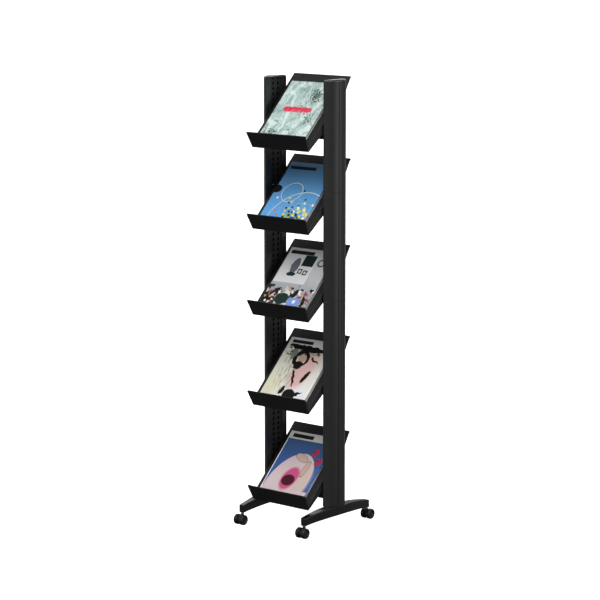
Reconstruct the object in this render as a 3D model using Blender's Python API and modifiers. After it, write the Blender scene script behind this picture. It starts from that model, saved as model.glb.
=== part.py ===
"""Mobile newspaper and magazine rack: two perforated posts on castored feet, joined by two cross bars,
with five sloping trays hooked in between them.

Metres, +Z up.  X is the width, -Y is the reader's side, and the origin lies on the floor
midway between the posts.
"""
import math

import bmesh
import bpy
from mathutils import Matrix, Vector
from mathutils.geometry import delaunay_2d_cdt

GAP = 0.0003                      # clearance between pieces that touch
OVERLAP = 0.0010                  # how far solids that are joined into one run into each other

# Posts: stacked plastic shells round a perforated steel rail
POST_INNER_X = 0.1370             # flat face that looks at the trays
POST_ARC_X = 0.1139               # centre of the round outer side
POST_ARC_R = 0.0635
POST_WALL = 0.0030
POST_CORNER = 0.0035
POST_TOP = 1.6565
SHELL_PITCH = 0.4000
SHELLS_PER_POST = 4
GROOVE_Y = 0.0147                 # two fine flutes down the outer side
GROOVE_WIDTH = 0.0016
GROOVE_DEPTH = 0.0011
CAP_THICKNESS = 0.0092
CAP_ROUNDING = 0.0034
CAP_PLUG_DEPTH = 0.0090
CAP_PLUG_WIDTH = 0.0140
ARC_STEPS = 18

RAIL_HALF_WIDTH = 0.0289
RAIL_WEB_X = 0.1403               # face of the web, set back from the post's flat face
RAIL_GAUGE = 0.0020
RAIL_FLANGE = 0.0175
HOLE_PITCH = 0.0200
HOLE_WIDTH = 0.0090
HOLE_HEIGHT = 0.0120
HOLE_Y = 0.0130                   # the two columns of holes stand at +-HOLE_Y

# Feet
FOOT_INNER_X = 0.1390
FOOT_END_X = 0.1630
FOOT_BULGE_X = 0.1790
FOOT_HALF_LENGTH = 0.1860
FOOT_SEAT_Z = 0.0905
FOOT_SEAT_HALF = 0.0600
FOOT_END_TOP_Z = 0.0740
FOOT_END_BOTTOM_Z = 0.0445
FOOT_ARCH_Z = 0.0560
FOOT_STATIONS = 24
FOOT_BOSS_X = 0.1370
FOOT_BOSS_HALF_WIDTH = 0.0340
FOOT_BOSS_LOW_Z = 0.0600
FOOT_POCKET_FLOOR_Z = 0.0655
FOOT_EDGE_ROUND = 0.0022
SCREW_R = 0.0036
SCREW_HEAD_R = 0.0056
SCREW_HEAD_HEIGHT = 0.0030
SCREW_END_X = 0.1560

# Casters
CASTER_X = 0.1510
CASTER_Y = 0.1800
CASTER_TRAIL = 0.0100
WHEEL_R = 0.0195
WHEEL_SIDES = 24
WHEEL_INNER_X = 0.0062            # the twin wheels stand either side of the stem, from here
WHEEL_OUTER_X = 0.0205
WHEEL_SHOULDER = 0.0022
WHEEL_INNER_EDGE = 0.0012
WHEEL_WEB = 0.0015                # what is left between the axle's bore and the dished face
DISH_R = 0.0110
DISH_DEPTH = 0.0012
AXLE_R = 0.0025
AXLE_CHAMFER = 0.0004
AXLE_PLAY = 0.0030                # from the axle's end to the wheel's outer face
STEM_R = 0.0040
STEM_LOW_Z = 0.0270
STEM_TOP_Z = 0.0680
STEM_COLLAR_R = 0.0062
STEM_END_PLAY = 0.0005
BODY_R = 0.0150
BODY_HALF_WIDTH = 0.0058
BODY_NECK_LOW_Z = 0.0200
BODY_TOP_Z = 0.0400

# Trays: positions in a tray are (y, z) from the lower front corner of its lip
TRAY_FRONT_Y = -0.1368
TRAY_TOP_Z = 1.4100
TRAY_STEPS = (0.0, 0.300, 0.320, 0.340, 0.360)
TRAY_HALF_WIDTH = 0.1350
TRAY_FLOOR_HALF_WIDTH = 0.1365
TRAY_WALL = 0.0030
FLOOR_RISE = 0.0208               # height of the 45 degree floor above the corner
FLOOR_BACK_Y = 0.2388
FLOOR_BACK_CHAMFER = 0.0050
LIP_LEAN = math.radians(25.8)
LIP_HEIGHT = 0.0644
LIP_THICKNESS = 0.0050
LIP_TOP_HALF_WIDTH = 0.1415
LIP_CORNER = 0.0040
RIB_X = 0.0450
RIB_GAUGE = 0.0025
RIB_DEPTH = 0.0080
RIB_FRONT_Y = 0.0300
RIB_BACK_MARGIN = 0.0060
SKIRT_ANGLE = math.radians(37.3)  # underside of the side walls, from the lip's corner
SKIRT_REAR = (0.1617, 0.1232)
SKIRT_UP_THE_LIP = 0.0165

# Hook plates
HOOK_PLATE_GAUGE = 0.0020
HOOK_LUG_WIDTH = 0.0070
HOOK_LUG_HEIGHT = 0.0055
HOOK_DROP = 0.0050
HOOK_TIP_X = 0.1460
HOOK_PLATE_MARGIN = 0.0030        # from the plate to the side wall's underside and to the floor
HOOK_PLATE_SIDE = 0.0075          # plate beyond the columns of holes
HOOK_MIDDLE_Z = 0.1265            # height in the tray of the holes that the lugs are nearest to

# Cross bars: folded channels, open below, hooked into the rear column of holes
BAR_FRONT_Y = 0.0
BAR_DEPTH = 0.0260
BAR_HEIGHT = 0.0460
BAR_GAUGE = 0.0020
BAR_HALF_LENGTH = 0.1367
BAR_LUG_RISE = 0.0135             # from the bar's lower edge to the middle of its lower hole
BAR_LOWEST_HOLES = (1.4565, 0.1165)

# Magazines
MAGAZINE_WIDTH = 0.2200
MAGAZINE_LENGTH = 0.2900
MAGAZINE_THICKNESS = 0.0100
MAGAZINE_X = -0.0030
MAGAZINE_SPINE_ROUNDING = 0.0020

SIDES = (("left", -1), ("right", 1))
ENDS = (("front", -1), ("rear", 1))
SLOPE = Vector((0.0, 1.0, 1.0)).normalized()
SLOPE_NORMAL = Vector((0.0, -1.0, 1.0)).normalized()

# Local X, Y, Z of an outline that is extruded along a world axis
ALONG_X = Matrix(((0, 0, 1, 0), (1, 0, 0, 0), (0, 1, 0, 0), (0, 0, 0, 1)))
ALONG_Y = Matrix(((1, 0, 0, 0), (0, 0, -1, 0), (0, 1, 0, 0), (0, 0, 0, 1)))
ALONG_Z = Matrix.Identity(4)


def clear_scene():
    for obj in list(bpy.data.objects):
        bpy.data.objects.remove(obj, do_unlink=True)


def new_collection(name):
    collection = bpy.data.collections.new(name)
    bpy.context.scene.collection.children.link(collection)
    return collection


def principled(name, colour, roughness, metallic=0.0):
    material = bpy.data.materials.new(name)
    material.use_nodes = True
    shader = material.node_tree.nodes["Principled BSDF"]
    shader.inputs["Base Color"].default_value = (*colour, 1.0)
    shader.inputs["Roughness"].default_value = roughness
    shader.inputs["Metallic"].default_value = metallic
    material.diffuse_color = (*colour, 1.0)
    return material


def add_object(name, mesh, material=None, location=(0, 0, 0)):
    obj = bpy.data.objects.new(name, mesh)
    RACK.objects.link(obj)
    obj.location = location
    if material is not None:
        mesh.materials.clear()
        mesh.materials.append(material)
    mesh.shade_smooth()
    mesh.set_sharp_from_angle(angle=math.radians(35))
    return obj


def make_cutter(obj):
    RACK.objects.unlink(obj)
    CUTTERS.objects.link(obj)
    obj.hide_render = True
    obj.display_type = "WIRE"
    return obj


def boolean(obj, tool, operation="DIFFERENCE"):
    modifier = obj.modifiers.new(operation.lower() + "_" + tool.name, "BOOLEAN")
    modifier.operation = operation
    modifier.object = tool
    modifier.solver = "EXACT"


def outline_mesh(name, outlines, low, high, frame):
    """Solid between two planes from flat outlines; outlines after the first are holes."""
    curve = bpy.data.curves.new(name, "CURVE")
    curve.dimensions = "2D"
    curve.fill_mode = "BOTH"
    curve.extrude = (high - low) / 2
    for points in outlines:
        spline = curve.splines.new("POLY")
        spline.points.add(len(points) - 1)
        for point, (x, y) in zip(spline.points, points):
            point.co = (x, y, 0.0, 1.0)
        spline.use_cyclic_u = True
    holder = bpy.data.objects.new(name, curve)
    RACK.objects.link(holder)
    graph = bpy.context.evaluated_depsgraph_get()
    mesh = bpy.data.meshes.new_from_object(holder.evaluated_get(graph))
    mesh.name = name
    bpy.data.objects.remove(holder, do_unlink=True)
    work = bmesh.new()
    work.from_mesh(mesh)
    bmesh.ops.remove_doubles(work, verts=work.verts, dist=1e-6)
    work.transform(frame @ Matrix.Translation((0, 0, (low + high) / 2)))
    bmesh.ops.recalc_face_normals(work, faces=work.faces)
    work.to_mesh(mesh)
    work.free()
    return mesh


def box_mesh(name, low, high):
    low, high = Vector(low), Vector(high)
    mesh = bpy.data.meshes.new(name)
    work = bmesh.new()
    bmesh.ops.create_cube(work, size=1.0)
    bmesh.ops.scale(work, vec=high - low, verts=work.verts)
    bmesh.ops.translate(work, vec=(low + high) / 2, verts=work.verts)
    work.to_mesh(mesh)
    work.free()
    return mesh


def cylinder_mesh(name, radius, low, high, sides, frame):
    mesh = bpy.data.meshes.new(name)
    work = bmesh.new()
    bmesh.ops.create_cone(work, cap_ends=True, segments=sides, radius1=radius, radius2=radius,
                          depth=high - low)
    bmesh.ops.translate(work, vec=(0, 0, (low + high) / 2), verts=work.verts)
    work.transform(frame)
    work.to_mesh(mesh)
    work.free()
    return mesh


def turned_object(name, profile, steps, material, location, rotation=(0, 0, 0), closed=False):
    """Profile points are (radius, height), running down the outer side."""
    mesh = bpy.data.meshes.new(name)
    work = bmesh.new()
    verts = [work.verts.new((radius, 0.0, height)) for radius, height in profile]
    for first, second in zip(verts, verts[1:]):
        work.edges.new((first, second))
    if closed:
        work.edges.new((verts[-1], verts[0]))
    work.to_mesh(mesh)
    work.free()
    obj = add_object(name, mesh, material, location)
    obj.rotation_euler = rotation
    screw = obj.modifiers.new("turn", "SCREW")
    screw.steps = steps
    screw.render_steps = steps
    screw.use_merge_vertices = True
    screw.merge_threshold = 1e-6
    return obj


def mirrored(mesh, name):
    copy = mesh.copy()
    copy.name = name
    copy.transform(Matrix.Scale(-1, 4, Vector((1, 0, 0))))
    copy.flip_normals()
    return copy


def for_side(mesh, sign):
    """Shapes are drawn for the right-hand side; the left-hand one is the mirror image."""
    if sign > 0:
        return mesh
    return mirrored(mesh, mesh.name + "_mirrored")


def arc_points(centre_x, radius, start, end, steps):
    return [(centre_x + radius * math.cos(start + (end - start) * i / steps),
             radius * math.sin(start + (end - start) * i / steps)) for i in range(steps + 1)]


# ---------------------------------------------------------------- posts

def rounded_corner():
    """Points from the flat face to the arc round one corner of the D section, and the arc's angle there."""
    corner_y = math.sqrt(POST_ARC_R ** 2 - (POST_INNER_X - POST_ARC_X) ** 2)
    flat = Vector((POST_INNER_X, corner_y - POST_CORNER))
    tip = Vector((POST_INNER_X, corner_y))
    arc_x = POST_INNER_X + POST_CORNER
    arc = Vector((arc_x, math.sqrt(POST_ARC_R ** 2 - (arc_x - POST_ARC_X) ** 2)))
    points = []
    for t in (0.0, 0.33, 0.67):
        point = flat * (1 - t) ** 2 + tip * 2 * t * (1 - t) + arc * t ** 2
        points.append((point.x, point.y))
    return points, math.asin(arc.y / POST_ARC_R)


def outer_half(with_groove):
    """Outer half of the D section, from the flat face at +Y to the apex."""
    points, start = rounded_corner()
    centre = math.asin(GROOVE_Y / POST_ARC_R)
    half = GROOVE_WIDTH / 2 / POST_ARC_R
    if not with_groove:
        return points + arc_points(POST_ARC_X, POST_ARC_R, start, 0.0, ARC_STEPS // 2)
    points += arc_points(POST_ARC_X, POST_ARC_R, start, centre + half, ARC_STEPS // 2 - 2)
    deep = POST_ARC_R - GROOVE_DEPTH
    points += arc_points(POST_ARC_X, deep, centre + half, centre - half, 1)
    points += arc_points(POST_ARC_X, POST_ARC_R, centre - half, 0.0, 2)
    return points


def d_outline(with_groove):
    half = outer_half(with_groove)
    return half + [(x, -y) for x, y in reversed(half[:-1])]


def shell_outline():
    """C-shaped wall: the D with a slot in its flat face whose edges turn in to hold the rail."""
    slot = RAIL_HALF_WIDTH + GAP
    turn_in = RAIL_WEB_X + 2.5 * RAIL_GAUGE
    inner_x = POST_INNER_X + POST_WALL
    outer = d_outline(True)
    inner_r = POST_ARC_R - POST_WALL
    inner_start = math.acos((inner_x - POST_ARC_X) / inner_r)
    upper = [(inner_x, slot + POST_WALL), (turn_in, slot + POST_WALL), (turn_in, slot), (POST_INNER_X, slot)]
    lower = [(x, -y) for x, y in reversed(upper)]
    inner = arc_points(POST_ARC_X, inner_r, -inner_start, inner_start, ARC_STEPS)
    return outer + lower + inner + upper


def make_post_shells():
    outline = shell_outline()
    for index in range(SHELLS_PER_POST):
        top = POST_TOP - index * SHELL_PITCH - (GAP if index else 0.0)
        bottom = max(POST_TOP - (index + 1) * SHELL_PITCH, FOOT_SEAT_Z + GAP)
        mesh = outline_mesh("post_shell", [outline], bottom, top, ALONG_Z)
        for side, sign in SIDES:
            add_object(f"post_shell_{side}_{index + 1}", for_side(mesh, sign), POST_PLASTIC)


def hole_rows():
    """Heights of the hole centres, from the top down; the top edge cuts a row in half."""
    rows = []
    z = POST_TOP - HOLE_PITCH
    while z > FOOT_POCKET_FLOOR_Z + HOLE_HEIGHT / 2 + RAIL_GAUGE:
        rows.append(z)
        z -= HOLE_PITCH
    return rows


def rail_web_border():
    """Edge of the web, with the half holes in its top edge."""
    bottom = FOOT_POCKET_FLOOR_Z + 2 * GAP
    half = HOLE_WIDTH / 2
    notch = POST_TOP - HOLE_HEIGHT / 2
    border = [(-RAIL_HALF_WIDTH, bottom), (RAIL_HALF_WIDTH, bottom), (RAIL_HALF_WIDTH, POST_TOP)]
    for y in (HOLE_Y, -HOLE_Y):
        border += [(y + half, POST_TOP), (y + half, notch), (y - half, notch), (y - half, POST_TOP)]
    border.append((-RAIL_HALF_WIDTH, POST_TOP))
    return border


def inside_hole(point):
    near_column = abs(abs(point.x) - HOLE_Y) < HOLE_WIDTH / 2
    near_row = any(abs(point.y - z) < HOLE_HEIGHT / 2 for z in [POST_TOP] + hole_rows())
    return near_column and near_row


def rail_mesh():
    """Open sheet: the perforated web and its two flanges, drawn for the right-hand post."""
    loops = [rail_web_border()]
    half_y, half_z = HOLE_WIDTH / 2, HOLE_HEIGHT / 2
    for z in hole_rows():
        for y in (-HOLE_Y, HOLE_Y):
            loops.append([(y - half_y, z - half_z), (y - half_y, z + half_z),
                          (y + half_y, z + half_z), (y + half_y, z - half_z)])
    points, edges = [], []
    for loop in loops:
        first = len(points)
        points += [Vector(point) for point in loop]
        edges += [(first + i, first + (i + 1) % len(loop)) for i in range(len(loop))]
    flat, _, triangles, *_ = delaunay_2d_cdt(points, edges, [], 1, 1e-7)
    mesh = bpy.data.meshes.new("rail")
    work = bmesh.new()
    verts = [work.verts.new((RAIL_WEB_X, point.x, point.y)) for point in flat]
    for triangle in triangles:
        middle = sum((flat[i] for i in triangle), Vector((0, 0))) / 3
        if not inside_hole(middle):
            work.faces.new([verts[i] for i in triangle])
    for edge in [e for e in work.edges if e.is_boundary and e.calc_length() > 2 * HOLE_PITCH]:
        moved = bmesh.ops.extrude_edge_only(work, edges=[edge])["geom"]
        corners = [item for item in moved if isinstance(item, bmesh.types.BMVert)]
        if abs(corners[0].co.z - corners[1].co.z) > HOLE_PITCH:
            bmesh.ops.translate(work, vec=(RAIL_FLANGE, 0, 0), verts=corners)
        else:
            bmesh.ops.delete(work, geom=corners, context="VERTS")
    bmesh.ops.recalc_face_normals(work, faces=work.faces)
    if min(work.faces, key=lambda face: face.calc_center_median().x).normal.x > 0:
        bmesh.ops.reverse_faces(work, faces=work.faces)
    work.to_mesh(mesh)
    work.free()
    return mesh


def make_rails():
    sheet = rail_mesh()
    for side, sign in SIDES:
        rail = add_object(f"post_rail_{side}", for_side(sheet, sign), RAIL_STEEL)
        gauge = rail.modifiers.new("sheet_gauge", "SOLIDIFY")
        gauge.thickness = RAIL_GAUGE
        gauge.offset = -1.0
        gauge.use_even_offset = True


def make_caps():
    low = POST_TOP + GAP
    plate = outline_mesh("cap", [d_outline(False)], low, low + CAP_THICKNESS, ALONG_Z)
    plug_x = RAIL_WEB_X + RAIL_GAUGE + GAP
    plug_y = RAIL_HALF_WIDTH - RAIL_GAUGE - GAP
    plug = box_mesh("cap_plug", (plug_x, -plug_y, low - CAP_PLUG_DEPTH),
                    (plug_x + CAP_PLUG_WIDTH, plug_y, low + OVERLAP))
    for side, sign in SIDES:
        cap = add_object(f"post_cap_{side}", for_side(plate, sign), POST_PLASTIC)
        round_over = cap.modifiers.new("rounded_rim", "BEVEL")
        round_over.width = CAP_ROUNDING
        round_over.segments = 2
        round_over.limit_method = "ANGLE"
        round_over.angle_limit = math.radians(50)
        boolean(cap, make_cutter(add_object(f"plug_{side}", for_side(plug, sign))), "UNION")


# ---------------------------------------------------------------- feet

def foot_section(y):
    """Outer x, underside z and top z of the foot at distance y from its middle."""
    t = abs(y) / FOOT_HALF_LENGTH
    outer_x = FOOT_END_X + (FOOT_BULGE_X - FOOT_END_X) * max(0.0, math.cos(t * math.pi / 2)) ** 1.4
    bottom = FOOT_END_BOTTOM_Z + (FOOT_ARCH_Z - FOOT_END_BOTTOM_Z) * (1 - t ** 2)
    run = max(0.0, abs(y) - FOOT_SEAT_HALF) / (FOOT_HALF_LENGTH - FOOT_SEAT_HALF)
    top = FOOT_SEAT_Z - (FOOT_SEAT_Z - FOOT_END_TOP_Z) * run ** 1.5
    return outer_x, bottom, top


def foot_beam_mesh():
    """Arched beam lofted through rectangles whose height and outer side change along it."""
    mesh = bpy.data.meshes.new("foot")
    work = bmesh.new()
    rings = []
    for i in range(FOOT_STATIONS + 1):
        y = -FOOT_HALF_LENGTH + 2 * FOOT_HALF_LENGTH * i / FOOT_STATIONS
        outer_x, bottom, top = foot_section(y)
        corners = ((FOOT_INNER_X, bottom), (outer_x, bottom), (outer_x, top), (FOOT_INNER_X, top))
        rings.append([work.verts.new((x, y, z)) for x, z in corners])
    for first, second in zip(rings, rings[1:]):
        for i in range(4):
            work.faces.new((first[i], first[(i + 1) % 4], second[(i + 1) % 4], second[i]))
    work.faces.new(rings[0])
    work.faces.new(rings[-1])
    bmesh.ops.recalc_face_normals(work, faces=work.faces)
    work.to_mesh(mesh)
    work.free()
    return mesh


def make_feet():
    beam = foot_beam_mesh()
    bolt_z = hole_rows()[-1]
    slot = RAIL_HALF_WIDTH + GAP
    boss = box_mesh("boss", (FOOT_BOSS_X, -FOOT_BOSS_HALF_WIDTH, FOOT_BOSS_LOW_Z),
                    (RAIL_WEB_X, FOOT_BOSS_HALF_WIDTH, FOOT_SEAT_Z - OVERLAP))
    pocket = box_mesh("pocket", (RAIL_WEB_X - GAP, -slot, FOOT_POCKET_FLOOR_Z),
                      (RAIL_WEB_X + RAIL_FLANGE + GAP, slot, FOOT_SEAT_Z + 10 * OVERLAP))
    for side, sign in SIDES:
        foot = add_object(f"foot_{side}", for_side(beam, sign), FOOT_PLASTIC)
        edges = foot.modifiers.new("rounded_edges", "BEVEL")
        edges.width = FOOT_EDGE_ROUND
        edges.segments = 1
        edges.limit_method = "ANGLE"
        edges.angle_limit = math.radians(50)
        boolean(foot, make_cutter(add_object(f"boss_{side}", for_side(boss, sign))), "UNION")
        boolean(foot, make_cutter(add_object(f"pocket_{side}", for_side(pocket, sign))))
        for end, y_sign in ENDS:
            stem_hole = cylinder_mesh("stem_hole", STEM_R + GAP, STEM_LOW_Z, STEM_TOP_Z + STEM_END_PLAY, 16,
                                      ALONG_Z)
            hole = make_cutter(add_object(f"stem_hole_{side}_{end}", stem_hole))
            hole.location = (sign * CASTER_X, y_sign * CASTER_Y, 0)
            boolean(foot, hole)
            bolt_hole = cylinder_mesh("bolt_hole", SCREW_R + GAP, FOOT_BOSS_X - OVERLAP,
                                      RAIL_WEB_X + OVERLAP, 12, ALONG_X)
            hole = make_cutter(add_object(f"bolt_hole_{side}_{end}", for_side(bolt_hole, sign)))
            hole.location = (0, y_sign * HOLE_Y, bolt_z)
            boolean(foot, hole)
            make_foot_bolt(f"foot_bolt_{side}_{end}", sign, (0, y_sign * HOLE_Y, bolt_z))


def make_foot_bolt(name, sign, location):
    """Button-head screw: its axis runs outward along X from the head on the foot's boss."""
    seat = FOOT_BOSS_X - GAP
    crown = seat - SCREW_HEAD_HEIGHT
    shoulder = (SCREW_HEAD_R * 0.75, crown + SCREW_HEAD_HEIGHT * 0.27)
    profile = [(0.0, SCREW_END_X), (SCREW_R, SCREW_END_X), (SCREW_R, seat), (SCREW_HEAD_R, seat),
               shoulder, (SCREW_HEAD_R * 0.36, crown), (0.0, crown)]
    turned_object(name, profile, 12, BRIGHT_STEEL, location, (0, sign * math.pi / 2, 0))


# ---------------------------------------------------------------- casters

def make_caster(end, y_sign, side, sign):
    name = f"caster_{end}_{side}"
    stem = Vector((sign * CASTER_X, y_sign * CASTER_Y, 0))
    centre = stem + Vector((0, y_sign * CASTER_TRAIL, WHEEL_R))

    hub = cylinder_mesh("caster_body", BODY_R, -BODY_HALF_WIDTH, BODY_HALF_WIDTH, 24, ALONG_X)
    body = add_object(f"{name}_body", hub, CASTER_PLASTIC, centre)
    neck = cylinder_mesh("neck", BODY_HALF_WIDTH, BODY_NECK_LOW_Z, BODY_TOP_Z, 20, ALONG_Z)
    boolean(body, make_cutter(add_object(f"neck_{name}", neck, location=stem)), "UNION")
    bore_half = BODY_HALF_WIDTH + OVERLAP
    bore = cylinder_mesh("axle_bore", AXLE_R + GAP, -bore_half, bore_half, 12, ALONG_X)
    boolean(body, make_cutter(add_object(f"axle_bore_{name}", bore, location=centre)))
    socket = cylinder_mesh("stem_socket", STEM_R + GAP, STEM_LOW_Z - STEM_END_PLAY, BODY_TOP_Z + OVERLAP, 16,
                           ALONG_Z)
    boolean(body, make_cutter(add_object(f"stem_socket_{name}", socket, location=stem)))

    collar_low, collar_high = BODY_TOP_Z + GAP, FOOT_END_BOTTOM_Z - GAP
    collar = [(STEM_COLLAR_R, collar_high), (STEM_COLLAR_R, collar_low)]
    stem_profile = [(0.0, STEM_TOP_Z), (STEM_R, STEM_TOP_Z), (STEM_R, collar_high), *collar,
                    (STEM_R, collar_low), (STEM_R, STEM_LOW_Z), (0.0, STEM_LOW_Z)]
    turned_object(f"{name}_stem", stem_profile, 16, BRIGHT_STEEL, stem)

    half = WHEEL_OUTER_X - AXLE_PLAY
    tip, shaft = AXLE_R - AXLE_CHAMFER, half - AXLE_CHAMFER
    axle_profile = [(0.0, half), (tip, half), (AXLE_R, shaft), (AXLE_R, -shaft), (tip, -half), (0.0, -half)]
    turned_object(f"{name}_axle", axle_profile, 12, BRIGHT_STEEL, centre, (0, math.pi / 2, 0))
    for hand, x_sign in SIDES:
        make_wheel(f"{name}_wheel_{hand}", centre, x_sign)


def make_wheel(name, centre, x_sign):
    """Dished wheel with a blind axle bore; flats of the polygon touch the floor."""
    radius = WHEEL_R / math.cos(math.pi / WHEEL_SIDES)
    bore, face = AXLE_R + GAP, WHEEL_OUTER_X - DISH_DEPTH
    profile = [(0.0, face), (DISH_R, face), (DISH_R + DISH_DEPTH, WHEEL_OUTER_X),
               (radius - WHEEL_SHOULDER, WHEEL_OUTER_X), (radius, WHEEL_OUTER_X - WHEEL_SHOULDER),
               (radius, WHEEL_INNER_X + WHEEL_INNER_EDGE), (radius - WHEEL_INNER_EDGE, WHEEL_INNER_X),
               (bore, WHEEL_INNER_X), (bore, face - WHEEL_WEB), (0.0, face - WHEEL_WEB)]
    wheel = turned_object(name, profile, WHEEL_SIDES, WHEEL_PLASTIC, centre)
    wheel.rotation_mode = "QUATERNION"
    half_step = Matrix.Rotation(math.pi / WHEEL_SIDES, 4, "Z")
    wheel.rotation_quaternion = (Matrix.Rotation(x_sign * math.pi / 2, 4, "Y") @ half_step).to_quaternion()


# ---------------------------------------------------------------- trays

def lip_direction():
    return Vector((-math.sin(LIP_LEAN), math.cos(LIP_LEAN)))


def lip_inward():
    return Vector((math.cos(LIP_LEAN), math.sin(LIP_LEAN)))


def trough_corner():
    """Where the lip's inner face meets the floor, as (y, z) in the tray."""
    up = lip_direction()
    start = lip_inward() * LIP_THICKNESS
    run = (start.y - start.x - FLOOR_RISE) / (up.x - up.y)
    return start + up * run


def skirt_outline():
    """Side wall: its front and top edges end inside the lip and the floor."""
    front = lip_inward() * LIP_THICKNESS / 2
    rise = FLOOR_RISE - TRAY_WALL * math.sqrt(2) / 2
    back_y = FLOOR_BACK_Y - 2 * GAP
    corner = OVERLAP
    return [(front.x, front.y + 2 * GAP), SKIRT_REAR, (back_y + corner, back_y + rise - corner),
            (back_y, back_y + rise), (0.0, rise), tuple(front + lip_direction() * SKIRT_UP_THE_LIP)]


def tray_frame(z):
    return Matrix.Translation((0, TRAY_FRONT_Y, z))


def lip_plate():
    """The lip's face, wider at its top than at its foot, with rounded upper corners."""
    top, foot = LIP_TOP_HALF_WIDTH, TRAY_HALF_WIDTH - 2 * GAP
    half = [(foot, 0.0), (top, LIP_HEIGHT - LIP_CORNER), (top - LIP_CORNER, LIP_HEIGHT)]
    outline = half + [(-x, y) for x, y in reversed(half)]
    lean = Matrix.Rotation(LIP_LEAN, 4, "X")
    return outline_mesh("lip", [outline], -LIP_THICKNESS, 0.0, lean @ ALONG_Y)


def floor_plate():
    """The 45 degree floor; its back corners are cut off."""
    start = trough_corner()
    length = (FLOOR_BACK_Y - start.x) * math.sqrt(2)
    width, cut = TRAY_FLOOR_HALF_WIDTH, FLOOR_BACK_CHAMFER
    half = [(width - GAP, 0.0), (width, length - cut), (width - cut, length)]
    outline = half + [(-x, y) for x, y in reversed(half)]
    frame = Matrix.Translation((0, start.x, start.y)) @ Matrix.Rotation(math.pi / 4, 4, "X")
    return outline_mesh("floor", [outline], -TRAY_WALL, 0.0, frame)


def make_tray(index, z):
    name = f"tray_{index}"
    tray = add_object(name, floor_plate(), TRAY_PLASTIC)
    tray.matrix_world = tray_frame(z)
    tools = [("lip", lip_plate())]
    inner = TRAY_HALF_WIDTH - TRAY_WALL
    under = FLOOR_RISE - TRAY_WALL * math.sqrt(2)
    near, far = RIB_FRONT_Y, FLOOR_BACK_Y - RIB_BACK_MARGIN
    rib = [(near, near + under - RIB_DEPTH), (far, far + under - RIB_DEPTH),
           (far, far + under + OVERLAP), (near, near + under + OVERLAP)]
    for hand, sign in SIDES:
        low, high = sorted((sign * inner, sign * TRAY_HALF_WIDTH))
        tools.append((f"skirt_{hand}", outline_mesh("skirt", [skirt_outline()], low, high, ALONG_X)))
        low, high = sorted((sign * RIB_X, sign * (RIB_X + RIB_GAUGE)))
        tools.append((f"rib_{hand}", outline_mesh("rib", [rib], low, high, ALONG_X)))
    for label, mesh in tools:
        tool = make_cutter(add_object(f"{label}_{name}", mesh))
        tool.matrix_world = tray_frame(z)
        boolean(tray, tool, "UNION")
    for hand, sign in SIDES:
        make_hook_plate(name, z, hand, sign, tray)
    make_magazine(index, z)


# ---------------------------------------------------------------- hook plates

def nearest_row(z):
    rows = hole_rows()
    return min(range(len(rows)), key=lambda i: abs(rows[i] - z))


def lug_mesh(root_x, hole_z):
    """Lug for the right-hand side: goes through a hole, rests on its lower edge and drops behind the web."""
    low = hole_z - HOLE_HEIGHT / 2 + GAP
    high = low + HOOK_LUG_HEIGHT
    behind_x = RAIL_WEB_X + RAIL_GAUGE + GAP
    profile = [(root_x, low), (behind_x, low), (behind_x, low - HOOK_DROP),
               (HOOK_TIP_X, low - HOOK_DROP), (HOOK_TIP_X, high), (root_x, high)]
    return outline_mesh("lug", [profile], -HOOK_LUG_WIDTH / 2, HOOK_LUG_WIDTH / 2, ALONG_Y)


def hook_plate_outline(z):
    """Parallelogram that keeps clear of the side wall's underside and of the floor."""
    under = FLOOR_RISE - TRAY_WALL * math.sqrt(2)
    corners = []
    for y in (-HOLE_Y - HOOK_PLATE_SIDE, HOLE_Y + HOOK_PLATE_SIDE):
        run = y - TRAY_FRONT_Y
        corners.append(((y, z + run * math.tan(SKIRT_ANGLE) + HOOK_PLATE_MARGIN),
                        (y, z + run + under - HOOK_PLATE_MARGIN)))
    (front_low, front_high), (rear_low, rear_high) = corners
    return [front_low, rear_low, rear_high, front_high]


def make_hook_plate(tray_name, z, hand, sign, tray):
    """Steel plate inside the tray's side; its lugs pass through the wall and drop behind the rail."""
    rows = hole_rows()
    middle = nearest_row(z + HOOK_MIDDLE_Z)
    places = ((-HOLE_Y, rows[middle]), (-HOLE_Y, rows[middle + 1]), (HOLE_Y, rows[middle - 1]))
    plate_x = TRAY_HALF_WIDTH - TRAY_WALL - GAP
    plate = outline_mesh("hook_plate", [hook_plate_outline(z)], plate_x - HOOK_PLATE_GAUGE, plate_x, ALONG_X)
    hook = add_object(f"{tray_name}_hook_{hand}", for_side(plate, sign), HOOK_STEEL)
    half = HOOK_LUG_WIDTH / 2 + GAP
    for number, (y, hole_z) in enumerate(places):
        lug = lug_mesh(plate_x - HOOK_PLATE_GAUGE / 2, hole_z)
        tool = make_cutter(add_object(f"lug_{tray_name}_{hand}_{number}", for_side(lug, sign)))
        tool.location = (0, y, 0)
        boolean(hook, tool, "UNION")
        low = hole_z - HOLE_HEIGHT / 2
        high = low + HOOK_LUG_HEIGHT + 2 * GAP
        near, far = sorted((sign * (plate_x - OVERLAP / 2), sign * (TRAY_FLOOR_HALF_WIDTH + 2 * OVERLAP)))
        slot = box_mesh("slot", (near, y - half, low), (far, y + half, high))
        boolean(tray, make_cutter(add_object(f"slot_{tray_name}_{hand}_{number}", slot)))


# ---------------------------------------------------------------- cross bars

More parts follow.
